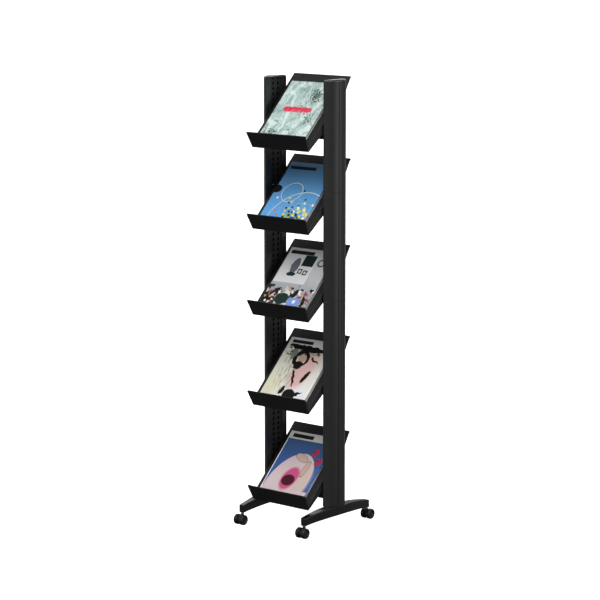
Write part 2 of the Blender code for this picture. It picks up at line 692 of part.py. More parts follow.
def make_cross_bar(name, hole_z):
    """Folded channel with closed ends; two lugs at each end hook into the rails and tie the posts."""
    low = hole_z - BAR_LUG_RISE
    back = BAR_FRONT_Y + BAR_DEPTH
    shell = box_mesh("bar", (-BAR_HALF_LENGTH, BAR_FRONT_Y, low), (BAR_HALF_LENGTH, back, low + BAR_HEIGHT))
    bar = add_object(name, shell, RAIL_STEEL)
    inner = BAR_HALF_LENGTH - BAR_GAUGE
    hollow = box_mesh("hollow", (-inner, BAR_FRONT_Y + BAR_GAUGE, low - OVERLAP),
                      (inner, back - BAR_GAUGE, low + BAR_HEIGHT - BAR_GAUGE))
    boolean(bar, make_cutter(add_object(f"hollow_{name}", hollow)))
    for hand, sign in SIDES:
        for number in range(2):
            lug = lug_mesh(BAR_HALF_LENGTH - BAR_GAUGE / 2, hole_z + number * HOLE_PITCH)
            tool = make_cutter(add_object(f"lug_{name}_{hand}_{number}", for_side(lug, sign)))
            tool.location = (0, HOLE_Y, 0)
            boolean(bar, tool, "UNION")


# ---------------------------------------------------------------- magazines

def make_magazine(index, z):
    """Bound magazine standing in the trough, spine to the left, with its foot against the lip."""
    thickness, width = MAGAZINE_THICKNESS, MAGAZINE_WIDTH
    left, right = MAGAZINE_X - width / 2, MAGAZINE_X + width / 2
    rounding = MAGAZINE_SPINE_ROUNDING
    outline = [(left, rounding), (left + rounding, 0.0), (right, 0.0), (right, thickness),
               (left + rounding, thickness), (left, thickness - rounding)]
    corner = trough_corner()
    foot = thickness / math.tan(math.pi / 4 + LIP_LEAN) + 2 * GAP
    mesh = outline_mesh(f"magazine_{index}", [outline], -MAGAZINE_LENGTH, 0.0, ALONG_Y)
    start = Vector((0, corner.x + TRAY_FRONT_Y, corner.y + z)) + SLOPE * foot + SLOPE_NORMAL * GAP
    magazine = add_object(f"magazine_{index}", mesh, PAPER, start)
    magazine.rotation_euler = (math.pi / 4, 0, 0)


clear_scene()
RACK = new_collection("newspaper_rack")
CUTTERS = new_collection("cutters")
POST_PLASTIC = principled("post_plastic", (0.028, 0.028, 0.028), 0.42)
RAIL_STEEL = principled("rail_steel", (0.012, 0.013, 0.012), 0.50, 0.2)
TRAY_PLASTIC = principled("tray_plastic", (0.018, 0.018, 0.019), 0.45)
HOOK_STEEL = principled("hook_steel", (0.05, 0.05, 0.05), 0.40, 1.0)
FOOT_PLASTIC = principled("foot_plastic", (0.016, 0.016, 0.016), 0.38)
CASTER_PLASTIC = principled("caster_plastic", (0.014, 0.014, 0.014), 0.40)
WHEEL_PLASTIC = principled("wheel_plastic", (0.020, 0.020, 0.020), 0.45)
BRIGHT_STEEL = principled("bright_steel", (0.55, 0.55, 0.56), 0.30, 1.0)
PAPER = principled("paper", (0.60, 0.68, 0.66), 0.35)

make_post_shells()
make_rails()
make_caps()
make_feet()
for end_name, end_sign in ENDS:
    for side_name, side_sign in SIDES:
        make_caster(end_name, end_sign, side_name, side_sign)
for bar_name, lowest_hole in zip(("cross_bar_top", "cross_bar_bottom"), BAR_LOWEST_HOLES):
    make_cross_bar(bar_name, lowest_hole)
tray_z = TRAY_TOP_Z
for tray_number, step in enumerate(TRAY_STEPS, start=1):
    tray_z -= step
    make_tray(tray_number, tray_z)
bpy.context.view_layer.update()
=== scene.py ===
"""Looks of a mobile newspaper rack: moulded posts on castored feet, five sloping trays and magazines."""
import math

import bmesh
import bpy
from bpy.props import FloatProperty, FloatVectorProperty, PointerProperty
from mathutils import Matrix, Vector
from mathutils.geometry import tessellate_polygon


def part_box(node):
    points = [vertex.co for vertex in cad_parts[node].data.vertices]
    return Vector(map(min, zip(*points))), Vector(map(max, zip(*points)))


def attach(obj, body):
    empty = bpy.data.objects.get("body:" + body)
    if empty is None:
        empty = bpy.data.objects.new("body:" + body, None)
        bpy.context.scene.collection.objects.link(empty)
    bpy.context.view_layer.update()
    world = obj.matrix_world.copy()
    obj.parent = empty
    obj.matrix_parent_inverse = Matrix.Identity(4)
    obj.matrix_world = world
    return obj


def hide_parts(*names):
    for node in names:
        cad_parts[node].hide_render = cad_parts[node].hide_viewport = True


bl_info = {
    "name": "Newspaper rack looks",
    "version": (1, 0, 0),
    "blender": (4, 5, 0),
    "location": "View3D > Sidebar > Rack",
    "description": "Visible pieces and materials of a mobile newspaper rack, around its solid model",
    "category": "Object",
}

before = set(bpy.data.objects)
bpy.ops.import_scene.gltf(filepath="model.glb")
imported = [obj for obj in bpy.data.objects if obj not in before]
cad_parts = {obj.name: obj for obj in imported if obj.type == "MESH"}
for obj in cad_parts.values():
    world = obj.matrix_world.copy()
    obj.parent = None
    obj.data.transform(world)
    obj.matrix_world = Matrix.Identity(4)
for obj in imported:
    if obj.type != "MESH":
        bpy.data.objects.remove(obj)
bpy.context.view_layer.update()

GAP = 0.0003                     # clearance that the solid model keeps between touching pieces
SIDES = (("left", -1), ("right", 1))
ENDS = ("front", "rear")
TRAYS = range(1, 6)
SHELLS = range(1, 5)
SLOPE = math.pi / 4              # the trays' floors
QUARTER_TURN = math.pi / 2
FULL_TURN = 2 * math.pi
COLOUR_A, COLOUR_B, COLOUR_OUT = 6, 7, 2     # sockets of a Mix node that mixes colours
NUMBER_A, NUMBER_B = 2, 3                    # and of one that mixes numbers
FLAT = 1e6                       # flattens a local coordinate that a pattern on a sheet doesn't use


# ---------------------------------------------------------------- colours and nodes

def linear(code):
    """Scene-linear RGBA of an sRGB hex code."""
    values = [int(code[i:i + 2], 16) / 255 for i in (1, 3, 5)]
    return (*[v / 12.92 if v <= 0.04045 else ((v + 0.055) / 1.055) ** 2.4 for v in values], 1.0)


def add_node(tree, kind, inputs=(), **settings):
    """Add a node, set its properties, then set or link its inputs, in order or by name or number."""
    node = tree.nodes.new(f"ShaderNode{kind}")
    for name, value in settings.items():
        setattr(node, name, value)
    for socket, value in inputs.items() if isinstance(inputs, dict) else enumerate(inputs):
        if isinstance(value, bpy.types.NodeSocket):
            tree.links.new(value, node.inputs[socket])
        else:
            node.inputs[socket].default_value = value
    return node


def per_metre(millimetres):
    """Texture scale, in features per metre, of a pattern whose real spacing is given."""
    return 1000.0 / millimetres


def new_material(name, roughness, **sockets):
    """Material with a plain shader, whose even values sit on the shader's own sockets."""
    material = bpy.data.materials.new(name)
    material.use_nodes = True
    shader = material.node_tree.nodes["Principled BSDF"]
    shader.inputs["Roughness"].default_value = roughness
    for socket, value in sockets.items():
        shader.inputs[socket.replace("_", " ")].default_value = value
    place = add_node(material.node_tree, "TexCoord").outputs["Object"]
    return material, material.node_tree, shader, place


def finish_surface(tree, shader, tint, height, relief_m):
    """Link a surface's colour, and its relief from a height and the relief's depth."""
    relief = add_node(tree, "Bump", {"Height": height, "Distance": relief_m, "Strength": 1.0})
    tree.links.new(tint, shader.inputs["Base Color"])
    tree.links.new(relief.outputs["Normal"], shader.inputs["Normal"])


def worked_surface(name, colours, gloss, patch_mm, grain_mm, relief_mm, stretch=(1, 1, 1), **sockets):
    """Colour and gloss wander between two values in patches, over a fine relief of a stated grain."""
    material, tree, shader, place = new_material(name, gloss[0], **sockets)
    patches = add_node(tree, "TexNoise", {"Vector": place, "Scale": per_metre(patch_mm), "Detail": 5.0,
                                          "Roughness": 0.6}).outputs["Fac"]
    drawn = add_node(tree, "Mapping", {"Vector": place, "Scale": stretch}).outputs["Vector"]
    grain = add_node(tree, "TexNoise", {"Vector": drawn, "Scale": per_metre(grain_mm), "Detail": 2.0})
    roughness = add_node(tree, "MapRange", (patches, 0.3, 0.7, *gloss)).outputs["Result"]
    tree.links.new(roughness, shader.inputs["Roughness"])
    tint = add_node(tree, "Mix", {0: patches, COLOUR_A: colours[0], COLOUR_B: colours[1]}, data_type="RGBA")
    finish_surface(tree, shader, tint.outputs[COLOUR_OUT], grain.outputs["Fac"], relief_mm / 1000)
    return material


# ---------------------------------------------------------------- materials of the rack

def satin_moulded_abs(colour):
    """Injection-moulded ABS from a spark-eroded tool: an even charcoal with a soft, wide highlight.
    The real grain is 0.1 mm; it is drawn at 0.9 mm, the finest that still shows."""
    return worked_surface("satin_moulded_abs", (colour, linear("#1D1E1F")), (0.32, 0.40),
                          patch_mm=70, grain_mm=0.9, relief_mm=0.012, IOR=1.53)


def polished_moulded_abs(colour):
    """The same ABS from a polished part of the tool: a sharper, stronger highlight on the caps' rims."""
    return worked_surface("polished_moulded_abs", (colour, linear("#242425")), (0.24, 0.31),
                          patch_mm=40, grain_mm=1.2, relief_mm=0.006, IOR=1.53, Specular_IOR_Level=1.0)


def powder_coated_steel(colour):
    """Sheet steel under baked polyester powder: near black, with the shallow waves of orange peel."""
    return worked_surface("powder_coated_steel", (colour, linear("#121413")), (0.46, 0.56),
                          patch_mm=60, grain_mm=2.2, relief_mm=0.03, IOR=1.52)


def moulded_polystyrene(colour):
    """Impact-modified polystyrene, the trays' plastic: deeper black than the posts, and dulled in
    patches by years of magazines sliding in and out."""
    return worked_surface("moulded_polystyrene", (colour, linear("#171718")), (0.33, 0.45),
                          patch_mm=45, grain_mm=0.8, relief_mm=0.010, IOR=1.55)


def glass_filled_nylon(colour):
    """Glass-filled polyamide, as feet that carry load are made of: fibres near the skin leave it a
    little streaky along the flow, which runs lengthwise."""
    return worked_surface("glass_filled_nylon", (colour, linear("#101011")), (0.20, 0.28),
                          patch_mm=35, grain_mm=1.6, relief_mm=0.015, stretch=(1.0, 0.25, 1.0), IOR=1.53)


def caster_nylon(colour):
    """Plain moulded nylon on the wheels: dark grey where floor dust has polished into the tread."""
    return worked_surface("caster_nylon", (colour, linear("#191817")), (0.26, 0.40),
                          patch_mm=9, grain_mm=0.7, relief_mm=0.010, IOR=1.53)


def zinc_plated_steel(colour):
    """Turned steel with bright zinc plate: pale metal with fine turning rings."""
    return worked_surface("zinc_plated_steel", (colour, linear("#A9ABAF")), (0.22, 0.34),
                          patch_mm=6, grain_mm=0.5, relief_mm=0.006, stretch=(1.0, 1.0, 4.0), Metallic=1.0)


def black_passivated_steel(colour):
    """Pressed steel with black-passivated zinc: a dark metal that still reads as metal on its edges."""
    return worked_surface("black_passivated_steel", (colour, linear("#3A3A3D")), (0.34, 0.46),
                          patch_mm=14, grain_mm=0.9, relief_mm=0.008, Metallic=0.8)


def backlit_floor_paint(colour, glow):
    """Pale matt paint on a floor that is lit from behind: it stays white, with hardly a shadow."""
    return worked_surface("backlit_floor_paint", (colour, linear("#FBFBFA")), (0.85, 0.95),
                          patch_mm=900, grain_mm=6, relief_mm=0.05,
                          Emission_Color=linear("#FFFFFF"), Emission_Strength=glow)


def page_edges(colour):
    """The cut edges of a stack of coated pages. A page is 0.08 mm thick; the lines are drawn at
    0.7 mm, because real ones are too fine to show."""
    material, tree, shader, place = new_material("page_edges", 0.72)
    bands_in_unit = 20           # lines that the Wave texture draws to a unit of its scale
    leaves = add_node(tree, "TexWave", {"Vector": place, "Scale": per_metre(0.7 * bands_in_unit),
                                        "Distortion": 0.6, "Detail": 2.0, "Detail Scale": 4.0},
                      bands_direction="Z").outputs["Fac"]
    tint = add_node(tree, "Mix", {0: leaves, COLOUR_A: linear("#8F8D89"), COLOUR_B: colour}, data_type="RGBA")
    finish_surface(tree, shader, tint.outputs[COLOUR_OUT], leaves, 0.0001)
    return material


# ---------------------------------------------------------------- printed covers

class Artwork:
    """The print on one cover, laid down ink by ink; places and sizes are in millimetres on the sheet."""
    thinning = 0.18              # how fast a splatter thins out away from its centre
    scraps_reach = 1.6           # how far scraps lie, as a share of their stated size

    def __init__(self, tree, sheet):
        self.tree = tree
        self.sheet = sheet
        self.colour = None

    def paper(self, foot, top, low=0.0, high=290.0):
        """An even run of colour from the foot of the cover to its top."""
        height = add_node(self.tree, "SeparateXYZ", {0: self.sheet}).outputs["Y"]
        share = add_node(self.tree, "MapRange", (height, low, high)).outputs["Result"]
        self.colour = add_node(self.tree, "Mix", {0: share, COLOUR_A: linear(foot), COLOUR_B: linear(top)},
                               data_type="RGBA").outputs[COLOUR_OUT]

    def ink(self, ink, distance, reach, blur):
        """Lay ink where the distance is under the reach, with an edge that soft."""
        mask = add_node(self.tree, "MapRange",
                        (distance, reach - blur, reach + blur, 1.0, 0.0)).outputs["Result"]
        self.colour = add_node(self.tree, "Mix", {0: mask, COLOUR_A: self.colour, COLOUR_B: ink},
                               data_type="RGBA").outputs[COLOUR_OUT]

    def local(self, sheet, centre, size=(1, 1), turn=0):
        """Coordinates from a centre, in units of the size, turned by so many degrees."""
        return add_node(self.tree, "Mapping",
                        {"Vector": sheet, "Location": (*centre, 0), "Rotation": (0, 0, math.radians(turn)),
                         "Scale": (*size, FLAT)}, vector_type="TEXTURE").outputs["Vector"]

    def away(self, *place):
        """Distance from a centre, in units of the size."""
        return add_node(self.tree, "VectorMath", (self.local(*place),), operation="LENGTH").outputs["Value"]

    def ellipse(self, ink, centre, size, turn=0, blur=1.0, line=None, sheet=None):
        """An ellipse of a half width and half height, or its outline if a line width is given."""
        away = self.away(sheet or self.sheet, centre, size, turn)
        unit = (size[0] + size[1]) / 2
        if line is None:
            self.ink(linear(ink), away, 1.0, blur / unit)
        else:
            off_line = add_node(self.tree, "Math", (away, 1.0), operation="SUBTRACT").outputs[0]
            apart = add_node(self.tree, "Math", (off_line,), operation="ABSOLUTE").outputs[0]
            self.ink(linear(ink), apart, line / 2 / unit, blur / unit)

    def ellipses(self, ink, shapes, **settings):
        for shape in shapes:
            self.ellipse(ink, *shape, **settings)

    def block(self, ink, centre, size, blur=0.6, sheet=None):
        """A rectangle of a half width and half height."""
        local = self.local(sheet or self.sheet, centre)
        apart = add_node(self.tree, "VectorMath", (local,), operation="ABSOLUTE").outputs[0]
        beyond = add_node(self.tree, "VectorMath", (apart, (*size, 0)), operation="SUBTRACT").outputs[0]
        parts = add_node(self.tree, "SeparateXYZ", (beyond,)).outputs
        farther = add_node(self.tree, "Math", (parts["X"], parts["Y"]), operation="MAXIMUM").outputs[0]
        self.ink(linear(ink), farther, 0.0, blur)

    def splatter(self, ink, centre, size, spot, amount, blur=0.05, detail=4.0, sheet=None):
        """Blots of a stated size that crowd round a centre and thin out away from it."""
        sheet = sheet or self.sheet
        away = self.away(sheet, centre, size)
        blots = add_node(self.tree, "TexNoise", {"Vector": sheet, "Scale": 1 / spot, "Detail": detail,
                                                 "Roughness": 0.65}, noise_dimensions="2D").outputs["Fac"]
        spread = add_node(self.tree, "Math", (away, 2.0), operation="POWER").outputs[0]
        thin = add_node(self.tree, "Math", (spread, self.thinning), operation="MULTIPLY").outputs[0]
        edge = add_node(self.tree, "Math", (thin, blots), operation="ADD").outputs[0]
        self.ink(linear(ink), edge, amount, blur)

    def scraps(self, inks, centre, size, pitch, cut, share, sheet=None):
        """Loose paper scraps, up to one in each cell of a stated pitch, each in one of the inks."""
        sheet = sheet or self.sheet
        cells = add_node(self.tree, "TexVoronoi", {"Vector": sheet, "Scale": 1 / pitch, "Randomness": 0.9},
                         voronoi_dimensions="2D", distance="CHEBYCHEV").outputs
        pick = add_node(self.tree, "SeparateColor", {0: cells["Color"]}).outputs
        away = self.away(sheet, centre, size)
        kept = add_node(self.tree, "MapRange", (away, 0.0, self.scraps_reach, share, 0.0)).outputs["Result"]
        absent = add_node(self.tree, "Math", (pick["Green"], kept), operation="GREATER_THAN").outputs[0]
        chart = add_node(self.tree, "ValToRGB", {0: pick["Red"]})
        chart.color_ramp.interpolation = "CONSTANT"
        for i, ink in enumerate(inks):
            stops = chart.color_ramp.elements
            stop = stops[i] if i < 2 else stops.new(i / len(inks))
            stop.position = i / len(inks)
            stop.color = linear(ink)
        reach = add_node(self.tree, "Math", (cells["Distance"], absent), operation="ADD").outputs[0]
        self.ink(chart.outputs["Color"], reach, cut / pitch, 0.5 / pitch)

    def wandering(self, wave, reach, seed=0.0):
        """The sheet's coordinates pushed about, which turns clean shapes into brushwork."""
        moved = add_node(self.tree, "VectorMath", (self.sheet, (seed, seed, 0)), operation="ADD").outputs[0]
        noise = add_node(self.tree, "TexNoise", {"Vector": moved, "Scale": 1 / wave, "Detail": 3.0},
                         noise_dimensions="2D").outputs["Color"]
        centred = add_node(self.tree, "VectorMath", (noise, (0.5, 0.5, 0.5)), operation="SUBTRACT").outputs[0]
        push = add_node(self.tree, "VectorMath", {0: centred, "Scale": 2 * reach},
                        operation="SCALE").outputs[0]
        return add_node(self.tree, "VectorMath", (self.sheet, push), operation="ADD").outputs[0]


def ink_wash_cover(art):
    """Pale green wash with drawn-out grey strokes, dark blots and one red brush stroke."""
    art.paper("#BCD6CF", "#A9C0BC")
    drawn = add_node(art.tree, "Mapping", {"Vector": art.wandering(70, 40), "Scale": (1.5, 0.6, 1.0),
                                           "Rotation": (0, 0, math.radians(-50))}).outputs["Vector"]
    everywhere = (900, 900)
    for ink, spot, amount, seed in (("#DDF0EB", 60, 0.50, 0), ("#9DB5B1", 36, 0.44, 400),
                                    ("#7D9894", 22, 0.385, 900), ("#E4F2EE", 16, 0.38, 1400)):
        moved = add_node(art.tree, "VectorMath", (drawn, (seed, seed, 0)), operation="ADD").outputs[0]
        art.splatter(ink, (seed, seed), everywhere, spot, amount, 0.08, sheet=moved)
    run_ink = art.wandering(16, 9, seed=77.0)
    for centre, size, amount in (((46, 226), (34, 34), 0.58), ((92, 262), (18, 22), 0.56),
                                 ((70, 112), (22, 44), 0.50), ((-60, 46), (34, 16), 0.55),
                                 ((18, 182), (60, 12), 0.44), ((-12, 250), (60, 20), 0.42),
                                 ((20, 60), (60, 14), 0.42), ((58, 206), (26, 26), 0.52),
                                 ((-84, 24), (20, 26), 0.54)):
        art.splatter("#3C4F4A", centre, size, 7, amount, 0.06, sheet=run_ink)
    ragged = art.wandering(12, 6)
    art.ellipses("#E23C56", (((-52, 156), (18, 13)), ((48, 156), (18, 11))), blur=2.0, sheet=ragged)
    art.block("#E23C56", (-2, 156), (54, 12), blur=2.0, sheet=ragged)
    art.splatter("#E8707F", (0, 150), (70, 10), 14, 0.50, 0.08)


def blue_rings_cover(art):
    """Blue court with thin cream rings and a crowd of small paper scraps low on the right."""
    # The ground darkens from the foot to the top: partly the print's own blue, partly painted shade from the
    # tray above.
    art.paper("#5FA6E2", "#5386B2", 60.0, 230.0)
    art.splatter("#7FB4DE", (20, 90), (120, 120), 9, 0.42, 0.10)
    art.ellipse("#D6D8D0", (-24, 150), (46, 44), line=2.4, blur=0.6)
    art.ellipse("#D6D8D0", (58, 18), (134, 138), line=3.2, blur=0.6)
    inks = ("#EBD23A", "#F3F1EA", "#E0543F", "#10181A", "#A8B63A", "#E8C93A", "#F0DC62", "#24473F")
    art.scraps(inks, (48, 36), (62, 42), 15, 5.6, 1.6)
    tilted = add_node(art.tree, "Mapping", {"Vector": art.sheet, "Rotation": (0, 0, 0.5)}).outputs["Vector"]
    art.scraps(inks, (70, 0), (64, 60), 12, 4.0, 1.0, sheet=tilted)
    art.scraps(inks, (30, 62), (100, 80), 20, 4.2, 0.6)
    art.ellipse("#101822", (-56, 20), (6, 5))
    art.ellipse("#0B0D10", (-110, 160), (30, 19), sheet=art.wandering(12, 3))
    art.block("#141A22", (-38, 264), (62, 7))


def grey_gallery_cover(art):
    """Grey wall hung with plain dark and outlined squares, above a busy, dark-toned foreground."""
    art.paper("#9DA0A6", "#D2D3D4", 90.0, 200.0)
    art.block("#E0E1E3", (-32, 196), (74, 66))
    art.block("#1A2727", (8, 236), (27, 25))
    for centre in ((-10, 186), (16, 182)):
        art.block("#1E1F21", centre, (10, 11))
        art.block("#DADBDC", centre, (5, 6))
    art.ellipse("#303336", (68, 232), (15, 14), line=6)
    rough = art.wandering(22, 7)
    art.ellipse("#6B6C77", (-44, 208), (18, 34), sheet=rough)
    art.ellipse("#223030", (-44, 170), (20, 9), sheet=rough)
    art.splatter("#2A3131", (-30, 56), (120, 44), 18, 0.60, 0.03, detail=2.0, sheet=rough)
    inks = ("#0C1413", "#ECEAE4", "#12302C", "#C29A78", "#070A0B", "#B9CCCB", "#9A4247", "#DCD9D0")
    for centre, size, pitch, cut, share, push in (((-50, 58), (84, 46), 36, 17.0, 1.2, 14),
                                                  ((0, 66), (110, 40), 21, 8.0, 1.0, 11),
                                                  ((-40, 34), (90, 44), 12, 5.0, 1.0, 7)):
        art.scraps(inks, centre, size, pitch, cut, share, sheet=art.wandering(15, push, seed=pitch))
    art.ellipse("#14302C", (-22, 58), (30, 26), sheet=rough)
    art.ellipse("#101616", (28, 84), (10, 22), -18, sheet=rough)
    art.block("#7B9ADB", (40, 42), (28, 25))
    art.block("#EDEFF6", (42, 50), (7, 7))
    art.ellipse("#0E1111", (82, 54), (8, 24), 12, sheet=rough)
    art.block("#1B1C1E", (-42, 270), (56, 8))


def brushwork_cover(art):
    """Cream ground with a blush of pink and loose black brush strokes."""
    art.paper("#EBE9E2", "#D3D1C6", 20.0, 200.0)
    soft = art.wandering(60, 14)
    for ink, centre, size, turn, blur in (("#D9B3AE", (24, 150), (44, 92), -12, 20),
                                          ("#E6E4EA", (56, 24), (52, 44), 0, 24),
                                          ("#D9D6BE", (-84, 70), (40, 70), 0, 24)):
        art.ellipse(ink, centre, size, turn, blur=blur, sheet=soft)
    streaks = add_node(art.tree, "Mapping",
                       {"Vector": art.sheet, "Scale": (1.8, 0.35, 1.0)}).outputs["Vector"]
    art.splatter("#ABAC98", (-70, 60), (110, 70), 12, 0.48, 0.06, sheet=streaks)
    art.splatter("#3F463D", (-24, 224), (84, 30), 17, 0.57, 0.05)
    brush = art.wandering(26, 9, seed=31.0)
    art.ellipses("#050505", (((-2, 248), (92, 13), -4), ((20, 38), (30, 27)), ((-20, 56), (9, 20), -14),
                             ((56, 46), (22, 6), 30), ((-10, 172), (21, 17)), ((52, 126), (9, 29), -20),
                             ((0, 114), (4.4, 42), 22), ((54, 200), (26, 4), -30)), blur=1.2, sheet=brush)
    art.ellipse("#050505", (-10, 200), (29, 31), line=15, blur=1.2, sheet=brush)
    art.ellipse("#B89A82", (-8, 202), (19, 15), blur=3, sheet=brush)
    art.ellipse("#70766C", (-52, 222), (14, 18), blur=4, sheet=brush)
    art.block("#CFCFD1", (0, 277), (112, 15), blur=0.8)
    art.block("#161618", (-44, 273), (50, 7))


def blue_discs_cover(art):
    """Deep blue ground with a big pale pebble, rose and plum discs on it and thin drawn loops."""
    art.paper("#33589E", "#3E5A86", 90.0, 250.0)
    art.ellipse("#CFBCBF", (-6, 70), (92, 134), -16, blur=1.2)
    art.ellipse("#C9B7AE", (60, 60), (30, 80), -8, blur=16)
    art.block("#CFBCBF", (-4, 0), (112, 42), blur=1.4)
    art.ellipse("#C4507E", (-2, 88), (36, 52), -14, blur=6)
    art.ellipse("#43101B", (-4, 80), (30, 24), blur=2)
    for x, y, turn in ((54, 212, -10), (86, 176, -50)):
        art.ellipse("#B0304E", (x, y), (13, 19), turn)
        art.ellipse("#2A2233", (x - 9, y + 4), (3, 4), turn)
    for loop in (((6, 182), (34, 15), -20), ((46, 138), (13, 36), -8)):
        art.ellipse("#C4A69A", *loop)
        art.ellipse("#4A3633", *loop, line=1.8, blur=0.5)
    art.block("#D3D1CB", (0, 274), (112, 17), blur=0.8)
    art.block("#EDEDEB", (-109, 145), (4, 150), blur=0.5)
    art.block("#161618", (-42, 272), (50, 8))


COVERS = (("ink_wash", ink_wash_cover), ("blue_rings", blue_rings_cover),
          ("grey_gallery", grey_gallery_cover), ("brushwork", brushwork_cover),
          ("blue_discs", blue_discs_cover))


def coated_cover_stock(name, draw_cover):
    """Offset print on 250 g coated board with a sealing varnish: clear colour under a soft gloss."""
    material, tree, shader, place = new_material(f"coated_cover_{name}", 0.48, Specular_IOR_Level=0.22,
                                                 Coat_Weight=0.06, Coat_Roughness=0.22)
    millimetres = add_node(tree, "VectorMath", {0: place, "Scale": 1000.0}, operation="SCALE").outputs[0]
    art = Artwork(tree, millimetres)
    draw_cover(art)
    waves = add_node(tree, "TexNoise", {"Vector": place, "Scale": per_metre(55), "Detail": 1.0})
    finish_surface(tree, shader, art.colour, waves.outputs["Fac"], 0.0006)
    return material


# ---------------------------------------------------------------- mesh tools

def fillet(corners, steps=4):
    """Outline from (point, radius) corners; a corner of radius 0 stays as it is."""
    points = []
    count = len(corners)
    for i, (point, radius) in enumerate(corners):
        corner = Vector(point)
        if radius == 0:
            points.append(corner)
            continue
        back = (Vector(corners[i - 1][0]) - corner).normalized()
        ahead = (Vector(corners[(i + 1) % count][0]) - corner).normalized()
        half = back.angle(ahead) / 2
        centre = corner + (back + ahead).normalized() * (radius / math.sin(half))
        start = corner + back * (radius / math.tan(half)) - centre
        end = corner + ahead * (radius / math.tan(half)) - centre
        first = math.atan2(start.y, start.x)
        sweep = (math.atan2(end.y, end.x) - first + math.pi) % (2 * math.pi) - math.pi
        for step in range(steps + 1):
            angle = first + sweep * step / steps
            points.append(centre + Vector((math.cos(angle), math.sin(angle))) * radius)
    return points


def shrink(outline, distance, sharpest=0.35):
    """The outline moved inward by a distance, point for point; sharpest limits the move at a corner."""
    count = len(outline)
    area = sum(outline[i - 1].cross(outline[i]) for i in range(count))
    hand = math.copysign(1.0, area)
    moved = []
    for i, point in enumerate(outline):
        first = (point - outline[i - 1]).normalized()
        second = (outline[(i + 1) % count] - point).normalized()
        edge = Vector((-first.y, first.x))
        inward = (edge + Vector((-second.y, second.x))).normalized()
        moved.append(point + inward * (hand * distance / max(sharpest, inward.dot(edge))))
    return moved


def close_end(work, loop):
    """Fill a loop that is nearly flat, and may be hollow on one side, with triangles."""
    normal = sum((loop[i - 1].co.cross(vert.co) for i, vert in enumerate(loop)), Vector())
    across = max(range(3), key=lambda axis: abs(normal[axis]))
    flat = [Vector([value for axis, value in enumerate(vert.co) if axis != across] + [0.0]) for vert in loop]
    for corners in tessellate_polygon([flat]):
        work.faces.new([loop[i] for i in corners])


def skin(work, rings):
    """Join closed rings of points with faces and close both ends."""
    loops = [[work.verts.new(point) for point in ring] for ring in rings]
    count = len(loops[0])
    for first, second in zip(loops, loops[1:]):
        for i in range(count):
            work.faces.new((first[i], first[(i + 1) % count], second[(i + 1) % count], second[i]))
    close_end(work, loops[0])
    close_end(work, loops[-1])
    bmesh.ops.recalc_face_normals(work, faces=work.faces)


def circle(steps):
    """Angles of even steps round a full turn."""
    return [FULL_TURN * step / steps for step in range(steps)]


def quarter_circle(steps):
    """Angles of even steps from 0 to a right angle, both included."""
    return [QUARTER_TURN * step / steps for step in range(steps + 1)]


def end_rounding(edge, steps=3):
    """(inset, distance from the end) pairs that round the end of a solid over by an edge radius."""
    if edge == 0:
        return [(0.0, 0.0)]
    return [(edge * (1 - math.sin(turn)), edge * (1 - math.cos(turn))) for turn in quarter_circle(steps)]


def prism(work, outline, low, high, edge, place):
    """Solid along an axis with rounded ends; place turns (u, v, w) into a point."""
    rings = []
    for inset, run in end_rounding(edge):
        rings.append([place(p.x, p.y, low + run) for p in shrink(outline, inset)])
    for inset, run in reversed(end_rounding(edge)):
        rings.append([place(p.x, p.y, high - run) for p in shrink(outline, inset)])
    skin(work, rings)


def along_x(u, v, w):
    return Vector((w, u, v))


def along_y(u, v, w):
    return Vector((u, w, v))


def turned(work, profile, steps, place):
    """Solid of revolution; profile points are (radius, height), and its two ends lie on the axis."""
    rings = []
    for radius, height in profile:
        if radius == 0:
            rings.append([work.verts.new(place(0.0, 0.0, height))])
            continue
        rings.append([work.verts.new(place(radius * math.cos(a), radius * math.sin(a), height))
                      for a in circle(steps)])
    for first, second in zip(rings, rings[1:]):
        for i in range(steps):
            after = (i + 1) % steps
            corners = [first[i % len(first)], first[after % len(first)],
                       second[after % len(second)], second[i % len(second)]]
            work.faces.new(list(dict.fromkeys(corners)))
    bmesh.ops.recalc_face_normals(work, faces=work.faces)


def to_mesh(work, name):
    """Mesh of a finished work mesh, which is freed."""
    mesh = bpy.data.meshes.new(name)
    work.to_mesh(mesh)
    work.free()
    return mesh


def combine(name, base, joined=(), cut=()):
    """One closed solid from a base mesh, meshes joined to it and meshes cut out of it."""
    holder = bpy.data.objects.new(name, base)
    bpy.context.scene.collection.objects.link(holder)
    tools = []
    for operation, meshes in (("UNION", joined), ("DIFFERENCE", cut)):
        for mesh in meshes:
            tool = bpy.data.objects.new(f"{name}_tool", mesh)
            bpy.context.scene.collection.objects.link(tool)
            modifier = holder.modifiers.new(operation, "BOOLEAN")
            modifier.operation = operation
            modifier.object = tool
            modifier.solver = "MANIFOLD"
            tools.append(tool)
    graph = bpy.context.evaluated_depsgraph_get()
    result = bpy.data.meshes.new_from_object(holder.evaluated_get(graph))
    for spare in (holder, *tools):
        bpy.data.objects.remove(spare, do_unlink=True)
    return result


def add_piece(name, mesh, material, body, stands_for=(), matrix=None, crease=38):
    """Put a piece in place on its body, in the given material, instead of the nodes it stands for."""
    piece = bpy.data.objects.new(name, mesh)
    bpy.context.scene.collection.objects.link(piece)
    if matrix is not None:
        piece.matrix_world = matrix
    mesh.materials.clear()
    mesh.materials.append(material)
    mesh.shade_smooth()
    mesh.set_sharp_from_angle(angle=math.radians(crease))
    even = piece.modifiers.new("even_shading", "WEIGHTED_NORMAL")
    even.keep_sharp = True
    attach(piece, body)
    if stands_for:
        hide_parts(*stands_for)
    return piece


